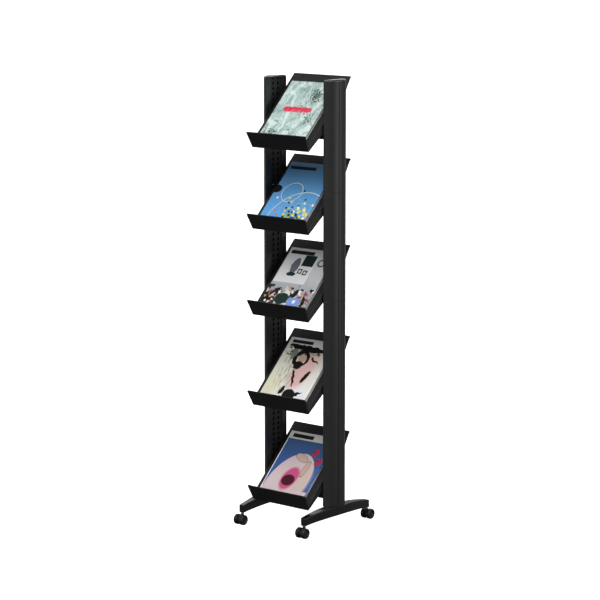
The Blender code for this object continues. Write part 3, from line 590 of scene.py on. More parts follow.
def refinish(node, material, edge_mm=0.0):
    """Give a kept node its material and, if asked, the small edge radius that a real one has."""
    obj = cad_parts[node]
    if not obj.material_slots:
        raise RuntimeError(f"{node} has no material slot to finish")
    for slot in obj.material_slots:
        slot.material = material
    if edge_mm:
        weld = obj.modifiers.new("weld", "WELD")
        weld.merge_threshold = 1e-6
        bevel = obj.modifiers.new("edge_radius", "BEVEL")
        bevel.width = edge_mm / 1000
        bevel.segments = 2
        bevel.limit_method = "ANGLE"
        bevel.angle_limit = math.radians(40)
        bevel.harden_normals = True


# ---------------------------------------------------------------- posts

def post_half(posts, flutes):
    """Outer side of the D section at +Y, from the flat face to the apex."""
    flat_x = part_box("post_shell_right_1")[0].x
    centre_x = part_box("post_shell_right_1")[1].x - posts.radius
    corner_y = math.sqrt(posts.radius ** 2 - (flat_x - centre_x) ** 2)
    join_x = flat_x + posts.corner
    join = Vector((join_x, math.sqrt(posts.radius ** 2 - (join_x - centre_x) ** 2)))
    flat, tip = Vector((flat_x, corner_y - posts.corner)), Vector((flat_x, corner_y))
    points = [flat * (1 - t) ** 2 + tip * 2 * t * (1 - t) + join * t ** 2 for t in (0.0, 0.2, 0.4, 0.6, 0.8)]
    flute = math.asin(posts.flute_place / posts.radius)
    half = posts.flute_width / 2 / posts.radius
    start = math.asin(join.y / posts.radius)
    angles = [start + (flute + half - start) * i / 16 for i in range(16)]
    angles += [flute + half * (1 - i / 4) for i in range(9)]
    angles += [(flute - half) * (1 - i / 4) for i in range(1, 5)]
    for angle in angles:
        share = min(1.0, abs(angle - flute) / half)
        depth = posts.flute_depth * math.sqrt(max(0.0, math.cos(share * QUARTER_TURN))) if flutes else 0.0
        radius = posts.radius - depth
        points.append(Vector((centre_x + radius * math.cos(angle), radius * math.sin(angle))))
    return points


def both_halves(half):
    """Whole outline from its half at +Y."""
    return half + [Vector((p.x, -p.y)) for p in reversed(half[:-1])]


def shell_section(posts):
    """C-shaped wall whose slot edges turn in to hold the rail."""
    rail_low, rail_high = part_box("post_rail_right")
    shell_low, shell_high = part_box("post_shell_right_1")
    slot = rail_high.y + GAP
    turn_in = rail_low.x + posts.turn_in
    bevel, fine = posts.slot_bevel, posts.slot_bevel / 4
    inner_x = shell_low.x + posts.wall
    inner_r = posts.radius - posts.wall
    centre_x = shell_high.x - posts.radius
    start = math.acos((inner_x - centre_x) / inner_r)
    outer = both_halves([Vector((shell_low.x, slot + bevel))] + post_half(posts, True))
    edge = [(shell_low.x + fine, slot + fine), (shell_low.x + bevel, slot), (turn_in, slot),
            (turn_in, slot + posts.wall), (inner_x, slot + posts.wall)]
    lower = [Vector((x, -y)) for x, y in edge]
    upper = [Vector(point) for point in reversed(edge)]
    inner = [Vector((centre_x + inner_r * math.cos(a), inner_r * math.sin(a)))
             for a in (start * (i / 16 - 1) for i in range(33))]
    return outer + lower + inner + upper


class RACK_OT_post_shells(bpy.types.Operator):
    """Fluted plastic shells, four to a post, with a fine chamfer at every seam"""
    bl_idname = "rack.post_shells"
    bl_label = "Post shells"

    def execute(self, context):
        posts = context.scene.rack_posts
        material = satin_moulded_abs(posts.colour)
        section = shell_section(posts)
        for side, sign in SIDES:
            for number in SHELLS:
                node = f"post_shell_{side}_{number}"
                low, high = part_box(node)
                work = bmesh.new()
                prism(work, section, low.z, high.z, posts.seam_chamfer,
                      lambda u, v, w: Vector((sign * u, v, w)))
                add_piece(f"{node}_moulding", to_mesh(work, node), material, "frame", [node])
        return {"FINISHED"}


class RACK_OT_post_rails(bpy.types.Operator):
    """Perforated steel rails behind the slots, and cross bars with the soft edges of coated sheet"""
    bl_idname = "rack.post_rails"
    bl_label = "Post rails"

    def execute(self, context):
        material = powder_coated_steel(context.scene.rack_posts.rail_colour)
        for side, _ in SIDES:
            refinish(f"post_rail_{side}", material)
        for place in ("top", "bottom"):
            refinish(f"cross_bar_{place}", material, edge_mm=0.8)
        return {"FINISHED"}


class RACK_OT_post_caps(bpy.types.Operator):
    """Caps with a rounded rim and a faint dome, plugged into the rails"""
    bl_idname = "rack.post_caps"
    bl_label = "Post caps"

    def execute(self, context):
        posts = context.scene.rack_posts
        material = polished_moulded_abs(posts.cap_colour)
        outline = both_halves(post_half(posts, False))
        middle = sum(outline, Vector((0.0, 0.0))) / len(outline)
        for side, sign in SIDES:
            node = f"post_cap_{side}"
            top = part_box(node)[1].z
            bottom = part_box(f"post_shell_{side}_1")[1].z + GAP
            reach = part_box(node)[1].y
            rings = [(shrink(outline, posts.seam_chamfer), bottom), (outline, bottom + posts.seam_chamfer)]
            rim_z = top - posts.cap_dome - posts.cap_rim
            for turn in quarter_circle(8):
                rings.append((shrink(outline, posts.cap_rim_width * (1 - math.cos(turn))),
                              rim_z + posts.cap_rim * math.sin(turn)))
            edge = rings[-1][0]
            for share in (0.85, 0.7, 0.5, 0.3, 0.1):
                rise = posts.cap_dome * (1 - share ** 2)
                rings.append(([middle + (p - middle) * share for p in edge], top - posts.cap_dome + rise))
            work = bmesh.new()
            skin(work, [[Vector((sign * p.x, p.y, z - posts.cap_sag * (z > rim_z) * (p.y / reach) ** 2))
                         for p in ring] for ring, z in rings])
            add_piece(f"{node}_moulding", to_mesh(work, node), material, "frame", [node])
        return {"FINISHED"}


# ---------------------------------------------------------------- feet

def foot_ring(feet, y):
    """Corners of the foot's cross-section at y, as (x, z): an arched beam that bulges outward."""
    low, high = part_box("foot_right")
    t = abs(y) / high.y
    outer_x = feet.end_x + (high.x - feet.end_x) * max(0.0, math.cos(t * QUARTER_TURN)) ** feet.bulge
    bottom = low.z + (feet.arch - low.z) * (1 - t ** 2)
    run = max(0.0, abs(y) - feet.seat_half) / (high.y - feet.seat_half)
    top = high.z - (high.z - feet.end_top) * run ** feet.fall
    return [(feet.inner_x, bottom), (outer_x, bottom), (outer_x, top), (feet.inner_x, top)]


def rectangle(half, low, high):
    return (-half, low), (half, low), (half, high), (-half, high)


def foot_mesh(feet, sign):
    """Arched beam with a boss for the screws joined to it and the rail's pocket cut into it."""
    foot_low, foot_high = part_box("foot_right")
    half, steps = foot_high.y, 56
    stations = [-half + 2 * half * i / steps for i in range(1, steps)]
    rounding = [(inset, half - run) for inset, run in end_rounding(feet.edge)]
    places = [(inset, -y) for inset, y in rounding] + [(0.0, y) for y in stations] + rounding[::-1]
    rings = []
    for inset, y in places:
        ring = fillet([(corner, feet.edge) for corner in foot_ring(feet, y)])
        rings.append([Vector((sign * p.x, y, p.y)) for p in shrink(ring, inset * feet.end_taper)])
    beam = bmesh.new()
    skin(beam, rings)
    boss = bmesh.new()

    def across(u, v, w):
        return Vector((sign * w, u, v))

    outline = fillet([(corner, feet.edge) for corner in
                      rectangle(feet.boss_half, feet.boss_bottom, foot_high.z - feet.boss_step)])
    prism(boss, outline, foot_low.x, feet.inner_x + feet.boss_overlap, 0.0005, across)
    rail_low, rail_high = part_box("post_rail_right")
    pocket = bmesh.new()
    above_foot = 0.1
    corners = [Vector(corner) for corner in rectangle(rail_high.y + GAP, rail_low.z - GAP, above_foot)]
    prism(pocket, corners, rail_low.x - GAP, rail_high.x + GAP, 0, across)
    return combine("foot", to_mesh(beam, "beam"), [to_mesh(boss, "boss")], [to_mesh(pocket, "pocket")])


class RACK_OT_feet(bpy.types.Operator):
    """Arched moulded feet with rounded edges and a pocket for the rail"""
    bl_idname = "rack.feet"
    bl_label = "Feet"

    def execute(self, context):
        feet = context.scene.rack_feet
        material = glass_filled_nylon(feet.colour)
        for side, sign in SIDES:
            node = f"foot_{side}"
            add_piece(f"{node}_moulding", foot_mesh(feet, sign), material, "frame", [node])
        return {"FINISHED"}


def hexagon(angle):
    """Radius factor that turns a circle into a hexagon."""
    return math.cos(math.pi / 6) / math.cos((angle % (math.pi / 3)) - math.pi / 6)


def round_outline(angle):
    return 1.0


class RACK_OT_foot_screws(bpy.types.Operator):
    """Button-head screws with a hexagon socket, two to a foot"""
    bl_idname = "rack.foot_screws"
    bl_label = "Foot screws"

    def execute(self, context):
        feet = context.scene.rack_feet
        material = zinc_plated_steel(feet.metal_colour)
        for side, sign in SIDES:
            for end in ENDS:
                node = f"foot_bolt_{side}_{end}"
                low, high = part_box(node)
                inner, outer = (low.x, high.x) if sign > 0 else (high.x, low.x)
                centre = (low + high) / 2
                work = bmesh.new()
                rings = []
                for radius, run, shape in self.profile(feet, (high.y - low.y) / 2, outer - inner, sign):
                    rings.append([Vector((inner + run, centre.y + radius * math.cos(a) * shape(a),
                                          centre.z + radius * math.sin(a) * shape(a))) for a in circle(36)])
                skin(work, rings)
                add_piece(f"{node}_turned", to_mesh(work, node), material, "frame", [node])
        return {"FINISHED"}

    def profile(self, feet, head, reach, sign):
        """(radius, depth, outline) rings from the floor of the socket over the head to the shank's end."""
        depth, socket, shank = feet.head_depth * sign, feet.socket, feet.shank
        return ((socket - 0.0006, depth * 0.7, hexagon), (socket, depth * 0.66, hexagon),
                (socket, 0.0001 * sign, hexagon), (socket + 0.0004, 0.0, round_outline),
                (head * 0.75, depth * 0.25, round_outline), (head * 0.93, depth * 0.6, round_outline),
                (head, depth, round_outline), (shank, depth, round_outline), (shank, reach, round_outline))


# ---------------------------------------------------------------- casters

def wheel_profile(casters, radius, inner, outer):
    """Dished nylon wheel: shouldered tread, ring recess and hub on its outer face, blind bore inside."""
    shoulder, bore, dish = casters.shoulder, casters.bore, outer - casters.dish
    tread_out = [(radius - shoulder * (1 - math.sin(t)), outer - shoulder * (1 - math.cos(t)))
                 for t in quarter_circle(5)]
    tread_in = [(radius - shoulder / 2 * (1 - math.cos(t)), inner + shoulder / 2 * (1 - math.sin(t)))
                for t in quarter_circle(4)]
    hub, ring = casters.hub, casters.ring
    face = [(0.0, outer - 0.0009), (hub - 0.0016, outer - 0.0009), (hub - 0.0006, outer - 0.0011),
            (hub, dish), (ring, dish), (ring + 0.0014, outer - 0.0004), (ring + 0.0022, outer)]
    middle, cut, half = (inner + outer) / 2, casters.groove, casters.groove * 2
    groove = [(radius, middle + half), (radius - cut, middle + half * 0.6),
              (radius - cut, middle - half * 0.6), (radius, middle - half)]
    blind_end = outer - casters.bore_floor
    return face + tread_out + groove + tread_in + [(bore, inner), (bore, blind_end), (0.0, blind_end)]


def plug(radius, low, high):
    """Profile of a plain cylinder."""
    return (0.0, low), (radius, low), (radius, high), (0.0, high)


class RACK_OT_casters(bpy.types.Operator):
    """Twin-wheel casters: dished wheels either side of a swivelling core on a plated stem"""
    bl_idname = "rack.casters"
    bl_label = "Casters"

    def execute(self, context):
        casters = context.scene.rack_casters
        nylon = caster_nylon(casters.wheel_colour)
        core = glass_filled_nylon(casters.core_colour)
        metal = zinc_plated_steel(context.scene.rack_feet.metal_colour)
        for end in ENDS:
            for side, _ in SIDES:
                caster = f"caster_{end}_{side}"
                refinish(f"{caster}_stem", metal)
                refinish(f"{caster}_axle", metal)
                self.make_core(casters, caster, core)
                for hand, sign in SIDES:
                    self.make_wheel(casters, f"{caster}_wheel_{hand}", sign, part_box(f"{caster}_axle"), nylon)
        return {"FINISHED"}

    def make_wheel(self, casters, node, sign, axle, material):
        """One wheel on its axle, with its dished face away from the core."""
        low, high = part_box(node)
        centre = (low + high) / 2
        pivot_x = (axle[0].x + axle[1].x) / 2
        inner, outer = sorted((abs(low.x - pivot_x), abs(high.x - pivot_x)))
        work = bmesh.new()
        turned(work, wheel_profile(casters, (high.y - low.y) / 2, inner, outer), 56,
               lambda u, v, w: Vector((pivot_x + sign * w, centre.y + u, centre.z + v)))
        add_piece(f"{node}_moulding", to_mesh(work, node), material, node, [node])

    def make_core(self, casters, caster, material):
        """Hub disc between the wheels and the upright neck that swivels on the stem."""
        node = f"{caster}_body"
        low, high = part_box(node)
        stem_low, stem_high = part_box(f"{caster}_stem")
        axle_low, axle_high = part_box(f"{caster}_axle")
        stem, axle = (stem_low + stem_high) / 2, (axle_low + axle_high) / 2
        half = (high.x - low.x) / 2
        radius, edge, chamfer = axle.z - low.z, casters.core_edge, 0.0010
        rim = [(radius - edge * (1 - math.cos(t)), half - edge * (1 - math.sin(t)))
               for t in reversed(quarter_circle(4))]
        past_core, above_core, socket = 0.01, 0.05, casters.stem_socket

        def on_axle(u, v, w):
            return Vector((axle.x + w, axle.y + u, axle.z + v))

        def on_stem(u, v, w):
            return Vector((stem.x + u, stem.y + v, w))

        def part(name, profile, steps, place):
            work = bmesh.new()
            turned(work, profile, steps, place)
            return to_mesh(work, name)

        far_rim = [(r, -h) for r, h in reversed(rim)]
        disc = part("disc", [(0.0, half)] + rim + far_rim + [(0.0, -half)], 48, on_axle)
        neck = part("neck", [(0.0, axle.z), (half, axle.z), (half, high.z - chamfer),
                             (half - chamfer, high.z), (0.0, high.z)], 40, on_stem)
        bore = part("bore", plug(casters.bore, -past_core, past_core), 24, on_axle)
        hole = part("socket", plug(socket, stem_low.z - GAP, above_core), 24, on_stem)
        mesh = combine("core", disc, [neck], [bore, hole])
        add_piece(f"{node}_moulding", mesh, material, caster, [node])


# ---------------------------------------------------------------- trays

def tray_corners(trays):
    """Driving points of the tray's section as (y, z) from the lower front corner of its lip."""
    low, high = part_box("tray_1")
    up = Vector((-math.sin(trays.lean), math.cos(trays.lean)))
    inward = Vector((up.y, -up.x))
    front_y = low.y - up.x * trays.lip_height
    back_y = high.y - front_y - trays.wall * math.sin(SLOPE)
    rise = high.z - low.z - back_y
    base = inward * trays.lip_thickness

    def meets_lip(level):
        return base + up * ((base.y - base.x - level) / (up.x - up.y))

    under = rise - trays.wall * math.sqrt(2)
    back = Vector((back_y, back_y + rise))
    return {"up": up, "inward": inward, "front_y": front_y, "rise": rise, "base": base, "back": back,
            "trough": meets_lip(rise), "under": meets_lip(under), "under_level": under}


def rounded_width(width, distance, radius):
    """Half width near an end whose two corners have that radius."""
    short = max(0.0, radius - distance) / radius
    return width - radius * (1 - math.sqrt(max(0.0, 1 - short ** 2)))


def tray_section(trays, at):
    """(point, half width) all round the lip and the floor, counter-clockwise from the lip's foot."""
    up, base, back = at["up"], at["base"], at["back"]
    slope = Vector((1.0, 1.0)).normalized()
    below = Vector((slope.y, -slope.x)) * trays.wall
    lip_runs = [trays.lip_height - trays.corner * share for share in (1.0, 0.75, 0.55)]
    floor_runs = [trays.corner * share for share in (1.0, 0.65, 0.4)]
    foot_radius, rear_radius, top_radius = 0.0014, 0.0014, 0.0024
    corners = [(base, foot_radius), (at["under"], 0.0)]
    corners += [(back + below - slope * run, 0.0) for run in floor_runs]
    corners += [(back + below, rear_radius), (back, rear_radius)]
    corners += [(back - slope * run, 0.0) for run in reversed(floor_runs)]
    corners += [(at["trough"], trays.trough_radius)]
    corners += [(base + up * run, 0.0) for run in lip_runs]
    corners += [(base + up * trays.lip_height, top_radius), (up * trays.lip_height, top_radius)]
    corners += [(up * run, 0.0) for run in reversed(lip_runs)]
    corners.append((Vector((0.0, 0.0)), foot_radius))
    section = fillet(corners, steps=6)
    _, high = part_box("tray_1")
    trough_run = at["trough"].dot(up)
    floor_width = trays.foot_width + (high.x - trays.foot_width) * trough_run / trays.lip_height
    widths = []
    beside_lip = trays.lip_thickness + 0.0028
    for point in section:
        run = point.dot(up)
        if point.dot(at["inward"]) <= beside_lip and point.y < at["trough"].y + 0.05:
            width = trays.foot_width + (high.x - trays.foot_width) * run / trays.lip_height
            widths.append(rounded_width(width, trays.lip_height - run, trays.corner))
        else:
            widths.append(rounded_width(floor_width, (back - point).dot(slope), trays.corner))
    return section, widths


def tray_mesh(trays):
    """Lip and floor in one skin, with side walls and two ribs joined under the floor."""
    at = tray_corners(trays)
    section, widths = tray_section(trays, at)
    sheet = bmesh.new()
    rings = []
    for side in (-1, 1):
        half = [[Vector((side * (width - run), p.x, p.y)) for p, width in zip(shrink(section, inset), widths)]
                for inset, run in end_rounding(trays.edge)]
        rings += half if side < 0 else half[::-1]
    skin(sheet, rings)
    parts = []
    level, back_y = at["under_level"] + trays.wall * 0.7, at["back"].x
    front = at["inward"] * trays.lip_thickness / 2
    wall = [(front.x, front.y + 0.0005), tuple(trays.wall_rear), (back_y, back_y + level), (0.0, level),
            tuple(front + at["up"] * trays.wall_front)]
    side_wall = fillet([(Vector(corner), 0.003 * (corner == wall[1])) for corner in wall])
    near, far, under, seated = trays.rib_front, back_y - trays.rib_margin, at["under_level"], 0.001
    shallow, deep = trays.rib_depth * 0.75, trays.rib_depth
    rib = [Vector((y, y + under + level)) for y, level in ((near, -shallow), (far, -deep), (far, seated),
                                                           (near, seated))]
    rib.insert(1, Vector((near + 0.002, near + under - shallow)))
    wall_side, rib_side = trays.wall_place, trays.rib_place
    for side in (-1, 1):
        for outline, low, high in ((side_wall, wall_side - trays.wall, wall_side),
                                   (rib, rib_side, rib_side + trays.rib_gauge)):
            work = bmesh.new()
            first, last = sorted((side * low, side * high))
            prism(work, outline, first, last, 0.0004, along_x)
            parts.append(to_mesh(work, "tray_part"))
    return combine("tray", to_mesh(sheet, "tray_sheet"), parts, scores(trays, at))


def scores(trays, at):
    """Two shallow lines that run down the margin above the magazine, where the ribs below are moulded on."""
    slope = Vector((1.0, 1.0)).normalized()
    upward = Vector((-slope.y, slope.x))
    clear = 0.002                # how far the cutting wedge stands out of the floor
    high_end, low_end = at["back"] + slope * clear, at["back"] - slope * trays.score_length
    outline = [low_end - upward * 0.0001, high_end - upward * trays.score_depth, high_end + upward * clear,
               low_end + upward * clear]
    meshes = []
    for middle in trays.score_places:
        work = bmesh.new()
        prism(work, outline, middle - trays.score_width / 2, middle + trays.score_width / 2, 0, along_x)
        meshes.append(to_mesh(work, "score"))
    return meshes


class RACK_OT_trays(bpy.types.Operator):
    """Sloping trays with a leaning lip, a rounded trough and side walls, on steel hook plates"""
    bl_idname = "rack.trays"
    bl_label = "Trays"

    def execute(self, context):
        trays = context.scene.rack_trays
        material = moulded_polystyrene(trays.colour)
        steel = black_passivated_steel(trays.hook_colour)
        mesh = tray_mesh(trays)
        front_y = tray_corners(trays)["front_y"]
        for number in TRAYS:
            node = f"tray_{number}"
            place = Matrix.Translation((0, front_y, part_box(node)[0].z))
            add_piece(f"{node}_moulding", mesh, material, node, [node], place)
            for side, _ in SIDES:
                refinish(f"{node}_hook_{side}", steel, edge_mm=0.3)
        return {"FINISHED"}


# ---------------------------------------------------------------- magazines

class RACK_OT_magazines(bpy.types.Operator):
    """Bound magazines: a printed cover wrapped round the spine, and a block of pages"""
    bl_idname = "rack.magazines"
    bl_label = "Magazines"

    def execute(self, context):
        magazines = context.scene.rack_magazines
        paper = page_edges(magazines.page_colour)
        for number, (name, artwork) in zip(TRAYS, COVERS):
            node = f"magazine_{number}"
            low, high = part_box(node)
            foot = Vector(((low.x + high.x) / 2, low.y + magazines.thickness * math.sin(SLOPE), low.z))
            length = (high.y - foot.y) / math.cos(SLOPE)
            matrix = Matrix.Translation(foot) @ Matrix.Rotation(SLOPE, 4, "X")
            half = (high.x - low.x) / 2
            cover = add_piece(f"{node}_cover", self.cover_mesh(magazines, half, length),
                              coated_cover_stock(name, artwork), node, [node], matrix)
            sheet = cover.modifiers.new("board", "SOLIDIFY")
            sheet.thickness = magazines.board
            sheet.offset = -1.0
            add_piece(f"{node}_pages", self.page_mesh(magazines, half, length), paper, node,
                      matrix=matrix)
        return {"FINISHED"}

    def cover_mesh(self, magazines, half, length):
        """Open sheet from the back cover's edge round the spine to the front cover's edge."""
        top, turn, left = magazines.thickness, magazines.spine_turn, -half
        bend = (0.0, 0.4, 0.8, 1.2, 1.57)
        wrap = [(half, 0.0), (half / 3, 0.0), (-half / 3, 0.0)]
        wrap += [(left + turn - turn * math.sin(a), turn - turn * math.cos(a)) for a in bend]
        wrap += [(left + turn - turn * math.cos(a), top - turn + turn * math.sin(a)) for a in bend]
        wrap += [(left + turn + (2 * half - turn) * i / 14, top) for i in range(1, 15)]
        work = bmesh.new()
        rows, steps = [], 20
        for step in range(steps + 1):
            row = []
            for x, z in wrap:
                across = max(0.0, (x + half) / (2 * half))
                lift = magazines.bow * across ** 3 * (0.55 + 0.45 * math.cos(FULL_TURN * step / steps))
                crease = ((x + half - magazines.crease_place) / magazines.crease_width) ** 2
                hollow = magazines.crease_depth * math.exp(-crease)
                raised = lift - hollow if z >= top - 1e-6 else 0.0
                row.append(work.verts.new((x, length * step / steps, z + raised)))
            rows.append(row)
        for first, second in zip(rows, rows[1:]):
            for i in range(len(wrap) - 1):
                work.faces.new((first[i], first[i + 1], second[i + 1], second[i]))
        bmesh.ops.recalc_face_normals(work, faces=work.faces)
        highest = max(work.faces, key=lambda face: face.calc_center_median().z)
        if highest.normal.z < 0:
            bmesh.ops.reverse_faces(work, faces=work.faces)
        return to_mesh(work, "cover")

    def page_mesh(self, magazines, half, length):
        """Page block whose fore-edge leans a little, as pages do when they lie on a slope."""
        board, top = magazines.board + 0.0001, magazines.thickness
        margin, spine, lean = magazines.page_margin, -half + board + 0.0004, 0.0006
        spine_radius, edge_radius = 0.0010, 0.0004
        outline = fillet([((spine, board), spine_radius), ((half - margin, board), edge_radius),
                          ((half - margin - lean, top - board), edge_radius),
                          ((spine, top - board), spine_radius)])
        work = bmesh.new()
        prism(work, outline, margin, length - margin, 0.0003, along_y)
        return to_mesh(work, "pages")


# ---------------------------------------------------------------- stage

def place_light(light, location, aim):
    """Put a light in place, turned towards its aim; the camera doesn't see the light itself."""
    lamp = bpy.data.objects.new(light.name, light)
    bpy.context.scene.collection.objects.link(lamp)
    lamp.location = location
    lamp.rotation_euler = (Vector(aim) - Vector(location)).to_track_quat("-Z", "Y").to_euler()
    lamp.visible_camera = False


class RACK_OT_stage(bpy.types.Operator):
    """Camera, pale painted floor and soft studio lights"""
    bl_idname = "rack.stage"
    bl_label = "Stage"

    def execute(self, context):
        stage = context.scene.rack_stage
        context.scene.view_settings.view_transform = "Standard"
        self.make_camera(context, stage)
        self.make_floor(stage)
        self.make_world(context, stage)
        self.make_lights(stage)
        return {"FINISHED"}

    def make_world(self, context, stage):
        """White to the camera; as a light, dim below the horizon, brightest at it and softer overhead."""
        world = bpy.data.worlds.new("studio")
        context.scene.world = world
        world.use_nodes = True
        tree = world.node_tree
        heading = add_node(tree, "TexCoord").outputs["Generated"]
        height = add_node(tree, "SeparateXYZ", {0: heading}).outputs["Z"]
        below = add_node(tree, "MapRange", (height, -0.45, 0.0, stage.below, stage.surround)).outputs[0]
        above = add_node(tree, "MapRange", (height, 0.25, 0.75, 1.0, stage.overhead_share)).outputs[0]
        strength = add_node(tree, "Math", (below, above), operation="MULTIPLY").outputs[0]
        seen = add_node(tree, "LightPath").outputs["Is Camera Ray"]
        shown = add_node(tree, "Mix", {0: seen, NUMBER_A: strength, NUMBER_B: 1.0}).outputs[0]
        tree.nodes["Background"].inputs["Color"].default_value = linear("#FFFFFF")
        tree.links.new(shown, tree.nodes["Background"].inputs["Strength"])

    def make_lights(self, stage):
        """A diffused key from the front right and two panels that draw highlights on edges."""
        sun = bpy.data.lights.new("diffused_key", "SUN")
        sun.energy = stage.key
        sun.angle = stage.key_softness
        place_light(sun, (0.9, -2.4, 2.6), (0, 0, 0))
        panels = (("side_panel", stage.side_panel, (3.4, 3.0), (4.2, 1.2, 1.6)),
                  ("rear_panel", stage.rear_panel, (3.6, 1.6), (-2.6, 3.1, 2.9)))
        for name, power, size, location in panels:
            panel = bpy.data.lights.new(name, "AREA")
            panel.shape = "RECTANGLE"
            panel.energy = power
            panel.size, panel.size_y = size
            place_light(panel, location, (0, 0, 0.9))

    def make_camera(self, context, stage):
        """Camera that looks at its aim from a direction and a distance."""
        camera = bpy.data.cameras.new("camera")
        camera.lens = stage.lens
        camera.sensor_width = 36.0
        camera.clip_end = 200.0
        holder = bpy.data.objects.new("camera", camera)
        context.scene.collection.objects.link(holder)
        turn, tilt = stage.azimuth, stage.elevation
        back = Vector((math.sin(turn) * math.cos(tilt), -math.cos(turn) * math.cos(tilt), math.sin(tilt)))
        holder.location = Vector(stage.aim) + back * stage.distance
        holder.rotation_euler = (QUARTER_TURN - tilt, 0.0, turn)
        context.scene.camera = holder

    def make_floor(self, stage):
        """Wide floor that lights nothing and isn't mirrored, so the rack keeps its dark underside."""
        work = bmesh.new()
        bmesh.ops.create_circle(work, cap_ends=True, segments=96, radius=stage.floor_radius)
        mesh = to_mesh(work, "floor")
        floor = bpy.data.objects.new("floor", mesh)
        bpy.context.scene.collection.objects.link(floor)
        mesh.materials.append(backlit_floor_paint(stage.floor_colour, stage.floor_glow))
        floor.visible_glossy = False
        floor.visible_diffuse = False


# ---------------------------------------------------------------- settings

def number(name, description, default, **settings):
    return FloatProperty(name=name, description=description, default=default, min=0.0, **settings)


def length(name, description, default):
    return number(name, description, default, unit="LENGTH", precision=5)


def angle(name, description, degrees):
    return number(name, description, math.radians(degrees), subtype="ANGLE", unit="ROTATION")


def position(name, description, default):
    return FloatVectorProperty(name=name, description=description, default=default, size=len(default),
                               unit="LENGTH", precision=4)


def colour(name, description, code):
    return FloatVectorProperty(name=name, description=description, default=linear(code), size=4,
                               min=0.0, max=1.0, subtype="COLOR")


class RackPosts(bpy.types.PropertyGroup):
    colour: colour("Shell colour", "Moulded shells of the posts", "#191A1A")
    cap_colour: colour("Cap colour", "Polished caps", "#171718")
    rail_colour: colour("Rail colour", "Powder coat of the rails and cross bars", "#0C0E0D")
    radius: length("Round side", "Radius of the round outer side", 0.0635)
    corner: length("Corner", "Rounding where the flat face meets the round side", 0.0035)
    wall: length("Wall", "Thickness of the shells", 0.0030)
    turn_in: length("Turn-in", "Depth of the slot's edges, which hold the rail's web", 0.0050)
    slot_bevel: length("Slot bevel", "Bevel where the flat face meets the slot", 0.0012)
    flute_place: length("Flute place", "Distance of each flute from the middle of the round side", 0.0147)
    flute_width: length("Flute width", "Width of the two fine flutes", 0.0038)
    flute_depth: length("Flute depth", "Depth of the flutes", 0.0026)
    seam_chamfer: length("Seam edge", "Rounding of the shells' ends", 0.0008)
    cap_rim: length("Cap rim", "Height of the caps' rounded upper edge", 0.0050)
    cap_rim_width: length("Cap rim width", "Width of the caps' rounded upper edge", 0.0070)
    cap_dome: length("Cap dome", "Rise of the caps' middle above their rim", 0.0008)
    cap_sag: length("Cap sag", "Fall of the caps' top towards their ends", 0.0024)


class RackFeet(bpy.types.PropertyGroup):
    colour: colour("Foot colour", "Moulded feet", "#070708")
    metal_colour: colour("Metal colour", "Zinc-plated screws, stems and axles", "#8E9094")
    inner_x: length("Inner face", "Distance of the foot's inner face from the middle", 0.1390)
    end_x: length("End face", "Distance of the outer side from the middle, at the ends", 0.1630)
    end_top: length("End height", "Height of the top at the ends", 0.0740)
    arch: length("Arch", "Height of the underside in the middle", 0.0560)
    seat_half: length("Seat", "Half length of the level seat under the post", 0.0600)
    edge: length("Edge", "Rounding of the long edges", 0.0030)
    bulge: number("Bulge", "How quickly the outer side swells towards the middle", 1.4)
    fall: number("Fall", "How the top falls from the seat to the ends", 1.5)
    end_taper: number("End taper", "Inset of the end faces, as a share of the edge rounding", 0.9)
    boss_half: length("Boss", "Half length of the screws' boss", 0.0340)
    boss_bottom: length("Boss bottom", "Height of the boss's underside", 0.0600)
    boss_step: length("Boss step", "How far the boss stays under the seat", 0.0010)
    boss_overlap: length("Boss overlap", "How far the boss reaches into the foot", 0.0020)
    head_depth: length("Screw head", "Height of the screws' heads", 0.0030)
    socket: length("Screw socket", "Radius of the hexagon socket", 0.0022)
    shank: length("Screw shank", "Radius of the screws' shanks", 0.0036)


class RackCasters(bpy.types.PropertyGroup):
    wheel_colour: colour("Wheel colour", "Nylon wheels", "#0C0C0C")
    core_colour: colour("Core colour", "Swivelling core", "#0B0B0C")
    shoulder: length("Shoulder", "Rounding of the tread's outer shoulder", 0.0030)
    dish: length("Dish", "Depth of the ring recess in the outer face", 0.0024)
    hub: length("Hub", "Inner radius of the ring recess", 0.0046)
    ring: length("Ring", "Outer radius of the ring recess", 0.0108)
    groove: length("Groove", "Depth of the groove round the tread", 0.0005)
    bore: length("Bore", "Radius of the axle's bore", 0.0028)
    bore_floor: length("Bore floor", "What the blind bore leaves under the outer face", 0.0030)
    core_edge: length("Core edge", "Rounding of the core's disc", 0.0012)
    stem_socket: length("Stem socket", "Radius of the stem's socket in the core", 0.0043)


